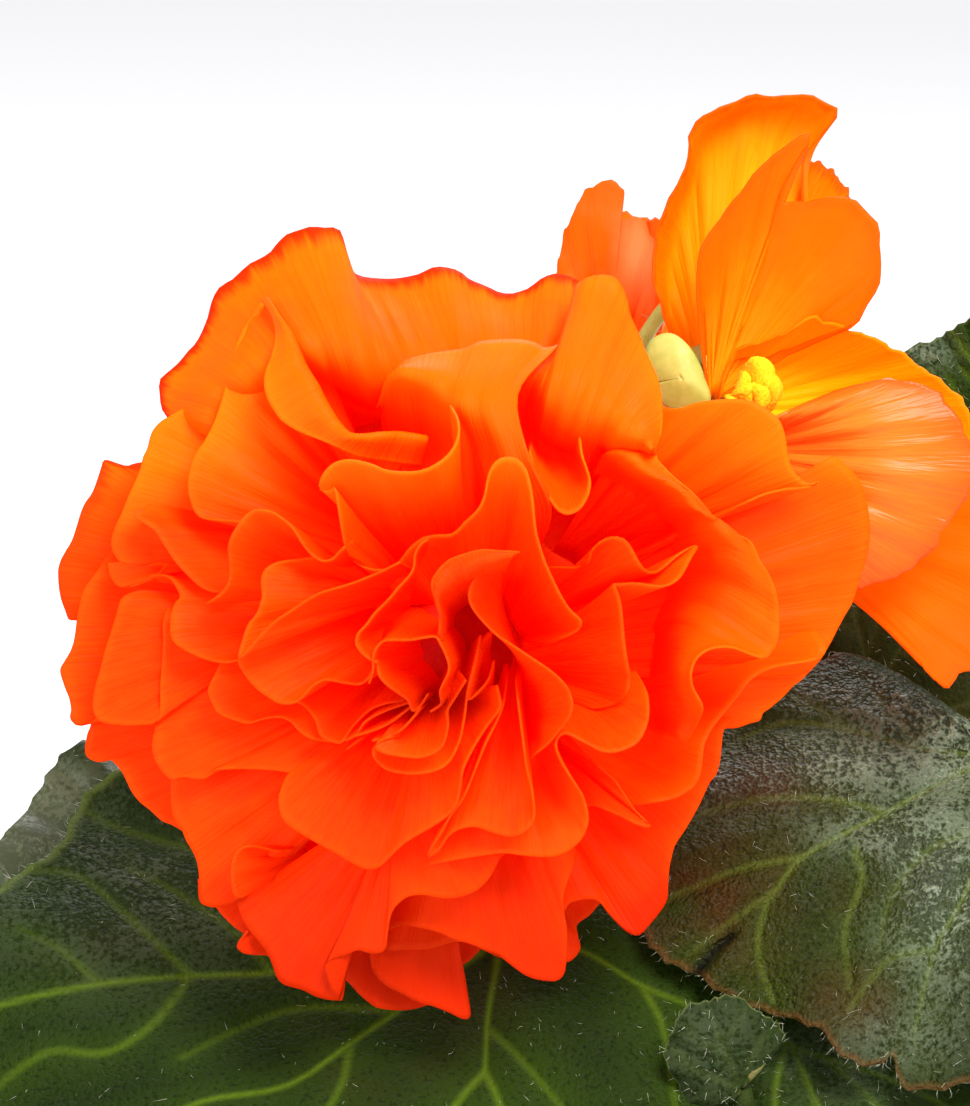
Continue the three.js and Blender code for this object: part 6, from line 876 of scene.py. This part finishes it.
# ------------------------------------------------------------------ pot, soil, tuber
def clay_material():
    m, nt, nodes, links = material("fired_clay")
    tc = N(nodes, 'ShaderNodeTexCoord'); sep = N(nodes, 'ShaderNodeSeparateXYZ'); links.new(tc.outputs['Object'], sep.inputs[0])
    n1 = N(nodes, 'ShaderNodeTexNoise', inputs={'Scale': 22.0, 'Detail': 6.0, 'Roughness': 0.6}); links.new(tc.outputs['Object'], n1.inputs['Vector'])
    r1 = ramp(nodes, [(0.3, (0.40, 0.135, 0.06)), (0.72, (0.56, 0.225, 0.115))]); links.new(n1.outputs[0], r1.inputs[0])
    # turning lines round the wall
    mp = N(nodes, 'ShaderNodeMapping'); mp.inputs['Scale'].default_value = (12, 12, 620); links.new(tc.outputs['Object'], mp.inputs['Vector'])
    ln = N(nodes, 'ShaderNodeTexNoise', inputs={'Scale': 1.0, 'Detail': 3.0}); links.new(mp.outputs[0], ln.inputs['Vector'])
    # pale lime bloom in blotches, stronger low down and along the rim
    n2 = N(nodes, 'ShaderNodeTexNoise', inputs={'Scale': 34.0, 'Detail': 8.0, 'Roughness': 0.72}); links.new(tc.outputs['Object'], n2.inputs['Vector'])
    band = ramp(nodes, [(0.0, (0.9,) * 3), (0.18, (0.35,) * 3), (0.70, (0.15,) * 3), (0.80, (0.7,) * 3), (1.0, (0.35,) * 3)]); links.new(mathn(nodes, links, 'MULTIPLY', sep.outputs[2], 9.26), band.inputs[0])
    bl = ramp(nodes, [(0.50, (0, 0, 0)), (0.74, (1, 1, 1))]); links.new(n2.outputs[0], bl.inputs[0])
    col = mixc(nodes, links, mathn(nodes, links, 'MULTIPLY', mathn(nodes, links, 'MULTIPLY', bl.outputs[0], band.outputs[0]), 0.65), r1.outputs[0], (0.66, 0.50, 0.40, 1))
    sp = N(nodes, 'ShaderNodeTexVoronoi', inputs={'Scale': 520.0}); links.new(tc.outputs['Object'], sp.inputs['Vector'])
    pit = ramp(nodes, [(0.06, (1, 1, 1)), (0.2, (0, 0, 0))]); links.new(sp.outputs[0], pit.inputs[0])
    col = mixc(nodes, links, mathn(nodes, links, 'MULTIPLY', pit.outputs[0], 0.35), col, (0.24, 0.08, 0.04, 1))
    pr = N(nodes, 'ShaderNodeBsdfPrincipled', distribution='GGX', inputs={'Roughness': 0.88, 'Specular IOR Level': 0.25}); links.new(col, pr.inputs['Base Color'])
    h = mathn(nodes, links, 'SUBTRACT', mathn(nodes, links, 'ADD', mathn(nodes, links, 'MULTIPLY', ln.outputs[0], 0.8), mathn(nodes, links, 'MULTIPLY', n2.outputs[0], 0.5)), mathn(nodes, links, 'MULTIPLY', pit.outputs[0], 0.5))
    bp = N(nodes, 'ShaderNodeBump', inputs={'Strength': 0.5, 'Distance': 0.0007}); links.new(h, bp.inputs['Height']); links.new(bp.outputs[0], pr.inputs['Normal'])
    out = N(nodes, 'ShaderNodeOutputMaterial'); links.new(pr.outputs[0], out.inputs[0])
    return m
def lathe_profile(prof, seg, wob=0.0):
    V = []; Fc = []
    n = len(prof)
    for k, (r_, z_) in enumerate(prof):
        for i in range(seg):
            a = 2 * np.pi * i / seg; rr_ = r_ * (1 + wob * math.sin(2 * a + 0.7) + 0.6 * wob * math.sin(3 * a + z_ * 0.05))
            V.append((rr_ * math.cos(a), rr_ * math.sin(a), z_))
    for k in range(n):
        m_ = (k + 1) % n
        for i in range(seg): Fc.append((k * seg + i, k * seg + (i + 1) % seg, m_ * seg + (i + 1) % seg, m_ * seg + i))
    return np.array(V), Fc
# closed wall section: outside up, over the rim, inside down, floor
def rounded(pts, r=0.9, n=4):
    out = []
    P2 = np.array(pts, float)
    for k in range(len(P2)):
        a, b, c = P2[k - 1], P2[k], P2[(k + 1) % len(P2)]
        la, lc = np.linalg.norm(a - b), np.linalg.norm(c - b)
        q = min(r, la * 0.4, lc * 0.4)
        p0 = b + (a - b) / la * q; p1 = b + (c - b) / lc * q
        for t in np.linspace(0, 1, n): out.append((1 - t) ** 2 * p0 + 2 * t * (1 - t) * b + t ** 2 * p1)
    return out
HOLE = 29.0
sec = [(22.0, 0.0), (45.0, 0.0), (61.0, 84.0), (66.0, 84.6), (66.0, 108.0), (62.0, 108.0), (58.1, 84.0), (42.6, 5.0), (22.0, 5.0)]
M_CLAY = clay_material()
wall = rounded(sec[1:-1], 1.1)
# wall as a band that starts and ends on the floor's edge, then the floor with its drainage holes
seg = 144
prof = [(44.0, 0.0)] + [tuple(q) for q in wall] + [(41.6, 5.0)]
fine = []
for k in range(len(prof) - 1):
    a, b = np.array(prof[k]), np.array(prof[k + 1]); m_ = max(1, int(np.linalg.norm(b - a) / 7))
    for t in range(m_): fine.append(tuple(a + (b - a) * t / m_))
fine.append(prof[-1])
V = []; Fc = []
for (r_, z_) in fine:
    for i in range(seg):
        a = 2 * np.pi * i / seg; w_ = 1 + (0.0012 * math.sin(2 * a + 0.7) if z_ > 8 else 0)
        V.append((r_ * w_ * math.cos(a), r_ * w_ * math.sin(a), z_))
for k in range(len(fine) - 1):
    for i in range(seg): Fc.append((k * seg + i, k * seg + (i + 1) % seg, (k + 1) * seg + (i + 1) % seg, (k + 1) * seg + i))
import bmesh
def plate_with_holes():
    """The pot's floor: a disc with six round holes, closed by boolean cuts."""
    bm = bmesh.new()
    bmesh.ops.create_cone(bm, cap_ends=True, segments=seg, radius1=0.0440, radius2=0.0416, depth=0.005)
    bmesh.ops.translate(bm, vec=(0, 0, 0.0025), verts=bm.verts)
    me = bpy.data.meshes.new("floor_plate"); bm.to_mesh(me); bm.free()
    ob = bpy.data.objects.new("floor_plate", me); bpy.context.scene.collection.objects.link(ob)
    for k in range(6):
        a = (k + 0.5) / 6 * 2 * math.pi
        bm = bmesh.new(); bmesh.ops.create_cone(bm, cap_ends=True, segments=28, radius1=0.005, radius2=0.005, depth=0.02)
        bmesh.ops.translate(bm, vec=(0.029 * math.cos(a), 0.029 * math.sin(a), 0.0025), verts=bm.verts)
        cm = bpy.data.meshes.new("cut"); bm.to_mesh(cm); bm.free(); co = bpy.data.objects.new("cut", cm); bpy.context.scene.collection.objects.link(co)
        md = ob.modifiers.new("c", 'BOOLEAN'); md.operation = 'DIFFERENCE'; md.object = co; md.solver = 'EXACT'
        dg = bpy.context.evaluated_depsgraph_get(); me2 = bpy.data.meshes.new_from_object(ob.evaluated_get(dg)); ob.modifiers.clear(); ob.data = me2
        bpy.data.objects.remove(co)
    Vp = np.array([v.co for v in ob.data.vertices]) * 1000; Fp = [tuple(p.vertices) for p in ob.data.polygons]
    bpy.data.objects.remove(ob)
    return Vp, Fp
Vp, Fp = plate_with_holes()
V, Fc = merge([(np.array(V), Fc), (Vp, Fp)])
ob = new_object("clay_pot", V, Fc, M_CLAY); finish_piece(ob, "pot")
for pl in ob.data.polygons:
    if abs(pl.normal.z) > 0.9: pl.use_smooth = False

def soil_material():
    m, nt, nodes, links = material("peat_compost")
    tc = N(nodes, 'ShaderNodeTexCoord')
    n1 = N(nodes, 'ShaderNodeTexNoise', inputs={'Scale': 120.0, 'Detail': 8.0, 'Roughness': 0.7}); links.new(tc.outputs['Object'], n1.inputs['Vector'])
    r1 = ramp(nodes, [(0.32, (0.010, 0.006, 0.004)), (0.55, (0.035, 0.020, 0.012)), (0.72, (0.085, 0.052, 0.030))]); links.new(n1.outputs[0], r1.inputs[0])
    tint = N(nodes, 'ShaderNodeAttribute', attribute_name="tint")
    col = mixc(nodes, links, tint.outputs['Fac'], r1.outputs[0], (0.17, 0.10, 0.055, 1))
    pr = N(nodes, 'ShaderNodeBsdfPrincipled', distribution='GGX', inputs={'Roughness': 0.95, 'Specular IOR Level': 0.2}); links.new(col, pr.inputs['Base Color'])
    n2 = N(nodes, 'ShaderNodeTexNoise', inputs={'Scale': 700.0, 'Detail': 6.0}); links.new(tc.outputs['Object'], n2.inputs['Vector'])
    bp = N(nodes, 'ShaderNodeBump', inputs={'Strength': 0.8, 'Distance': 0.0012}); links.new(n2.outputs[0], bp.inputs['Height']); links.new(bp.outputs[0], pr.inputs['Normal'])
    out = N(nodes, 'ShaderNodeOutputMaterial'); links.new(pr.outputs[0], out.inputs[0])
    return m
M_SOIL = soil_material()
nr_, ns_ = 74, 220
V = []
for j in range(nr_ + 1):
    r_ = 59.0 * j / nr_
    for i in range(ns_):
        a = 2 * np.pi * i / ns_; V.append((r_ * math.cos(a), r_ * math.sin(a), 97.0 - 3.0 * (r_ / 59.0) ** 2))
V = np.array(V)
V[:, 2] += 0.55 * value_noise(V, 4.0, 5) + 0.45 * value_noise(V, 1.9, 6) + 0.5 * value_noise(V, 9.0, 7) - 0.2
V[:, 2] = np.minimum(V[:, 2], 97.9)
top = len(V)
low = np.array([(42.0 * math.cos(2 * np.pi * i / ns_), 42.0 * math.sin(2 * np.pi * i / ns_), 5.4) for i in range(ns_)])
V = np.vstack([V, low, [(0, 0, 5.4)]])
Fc = []
for j in range(nr_):
    for i in range(ns_):
        a, b = j * ns_ + i, j * ns_ + (i + 1) % ns_
        Fc.append((a, a + ns_, b + ns_) if j == 0 else (a, a + ns_, b + ns_, b))
for i in range(ns_):
    a, b = nr_ * ns_ + i, nr_ * ns_ + (i + 1) % ns_; c_, d_ = top + i, top + (i + 1) % ns_
    Fc.append((a, c_, d_, b)); Fc.append((c_, top + ns_, d_))
rng = np.random.default_rng(11); tint = [np.zeros(len(V))]; parts = [(V, Fc)]
ico = [(0, 0, 1), (0.894, 0, 0.447), (0.276, 0.851, 0.447), (-0.724, 0.526, 0.447), (-0.724, -0.526, 0.447), (0.276, -0.851, 0.447), (0.724, 0.526, -0.447), (-0.276, 0.851, -0.447), (-0.894, 0, -0.447), (-0.276, -0.851, -0.447), (0.724, -0.526, -0.447), (0, 0, -1)]
icf = [(0,1,2),(0,2,3),(0,3,4),(0,4,5),(0,5,1),(1,6,2),(2,7,3),(3,8,4),(4,9,5),(5,10,1),(6,7,2),(7,8,3),(8,9,4),(9,10,5),(10,6,1),(11,7,6),(11,8,7),(11,9,8),(11,10,9),(11,6,10)]
ico = np.array(ico)
for k in range(900):
    a = rng.random() * 6.283; r_ = 8 + 49 * math.sqrt(rng.random()); s_ = 0.4 + 1.0 * rng.random() ** 2
    c_ = np.array([r_ * math.cos(a), r_ * math.sin(a), 97.0 - 3.0 * (r_ / 59.0) ** 2 + 0.2])
    q = ico * (1 + 0.35 * (rng.random((12, 1)) - 0.5)) * np.array([s_ * (1 + rng.random()), s_, s_ * 0.7])
    th = rng.random() * 6.283; q = q @ np.array([[math.cos(th), -math.sin(th), 0], [math.sin(th), math.cos(th), 0], [0, 0, 1]])
    parts.append((q + c_, icf)); tint.append(np.full(12, 0.0 if rng.random() < 0.6 else 0.7 * rng.random()))
V, Fc = merge(parts)
ob = new_object("compost", V, Fc, M_SOIL, None, {"tint": np.concatenate(tint)}, smooth_shade=False); finish_piece(ob, "soil")
# tuber: a flattened corky body whose crown shows round the stem
M_TUBER = simple_material("corky_tuber", (0.10, 0.055, 0.028), (0.24, 0.15, 0.08), 90, 0.9, 0.2, 0.9, 0.0015, 420, detail=8.0)
V, Fc = ellipsoid((0, 0, 89), (22.8, 22.8, 10.8), 0, 120, 64)
rr_ = np.hypot(V[:, 0], V[:, 1]); V[:, 2] += np.where(V[:, 2] > 89, 0.30 * value_noise(V, 2.2, 9) + 0.25 * np.sin(rr_ * 1.4), 0)
V[:, 2] = np.minimum(V[:, 2], 100.4)
ob = new_object("begonia_tuber", V, Fc, M_TUBER); finish_piece(ob, "tuber")

# ------------------------------------------------------------------ floor, light, camera
m, nt, nodes, links = material("studio_floor")
pr = N(nodes, 'ShaderNodeBsdfPrincipled', distribution='GGX', inputs={'Base Color': (0.50, 0.495, 0.51, 1), 'Roughness': 0.8, 'Specular IOR Level': 0.1, 'Emission Color': (1.0, 0.99, 1.0, 1), 'Emission Strength': 0.55})
out = N(nodes, 'ShaderNodeOutputMaterial'); links.new(pr.outputs[0], out.inputs[0])
fl = new_object("studio_floor", [(-9000, -4000, -0.4), (9000, -4000, -0.4), (9000, 14000, -0.4), (-9000, 14000, -0.4)], [(0, 1, 2, 3)], m, smooth_shade=False)
w = bpy.data.worlds.new("studio"); bpy.context.scene.world = w; w.use_nodes = True
wt_ = w.node_tree; bg = wt_.nodes["Background"]; bg.inputs[1].default_value = 1.0
wc_ = wt_.nodes.new('ShaderNodeTexCoord'); ws_ = wt_.nodes.new('ShaderNodeSeparateXYZ'); wr_ = wt_.nodes.new('ShaderNodeValToRGB')
wt_.links.new(wc_.outputs['Generated'], ws_.inputs[0]); wt_.links.new(ws_.outputs[2], wr_.inputs[0]); wt_.links.new(wr_.outputs[0], bg.inputs[0])
# paler towards the horizon, as a studio backdrop is
wr_.color_ramp.elements[0].position = 0.02; wr_.color_ramp.elements[0].color = (0.95, 0.94, 0.96, 1)
wr_.color_ramp.elements[1].position = 1.0; wr_.color_ramp.elements[1].color = (0.50, 0.51, 0.53, 1)
e_ = wr_.color_ramp.elements.new(0.16); e_.color = (0.86, 0.86, 0.88, 1)
e_ = wr_.color_ramp.elements.new(0.45); e_.color = (0.55, 0.56, 0.58, 1)
def area(name, loc, target, size, power, color=(1, 1, 1)):
    l = bpy.data.lights.new(name, 'AREA'); l.shape = 'SQUARE'; l.size = size; l.energy = power; l.color = color
    o = bpy.data.objects.new(name, l); bpy.context.scene.collection.objects.link(o)
    import mathutils
    o.location = loc; d = mathutils.Vector(target) - mathutils.Vector(loc); o.rotation_euler = d.to_track_quat('-Z', 'Y').to_euler()
    return o
tgt = (0.0, -0.045, 0.2)
area("key", (0.30, -0.55, 0.95), tgt, 0.45, 15.0, (1.0, 0.985, 0.96))
area("fill", (-0.75, -0.65, 0.45), tgt, 0.6, 5.5, (0.97, 0.98, 1.0))
area("back", (0.15, 0.75, 0.75), tgt, 0.6, 8.0, (1.0, 1.0, 1.0))
cam = bpy.data.cameras.new("camera"); cam.sensor_fit = 'AUTO'; cam.sensor_width = 36
co = bpy.data.objects.new("camera", cam); bpy.context.scene.collection.objects.link(co)
cam.lens = 18.0 / (553 * S0 / DIST); cam.clip_start = 0.01; cam.clip_end = 100
co.location = tuple((T - F * DIST) * 0.001); co.rotation_euler = (math.pi / 2 - EL, 0, 0)
bpy.context.scene.camera = co
bpy.context.scene.view_settings.view_transform = 'Standard'
bpy.context.scene.view_settings.look = 'None'

print("TRIS", sum(len(o.data.loop_triangles) if not o.data.calc_loop_triangles() else 0 for o in bpy.data.objects if o.type == "MESH" and o.name.startswith(("begonia", "clay", "compost"))))
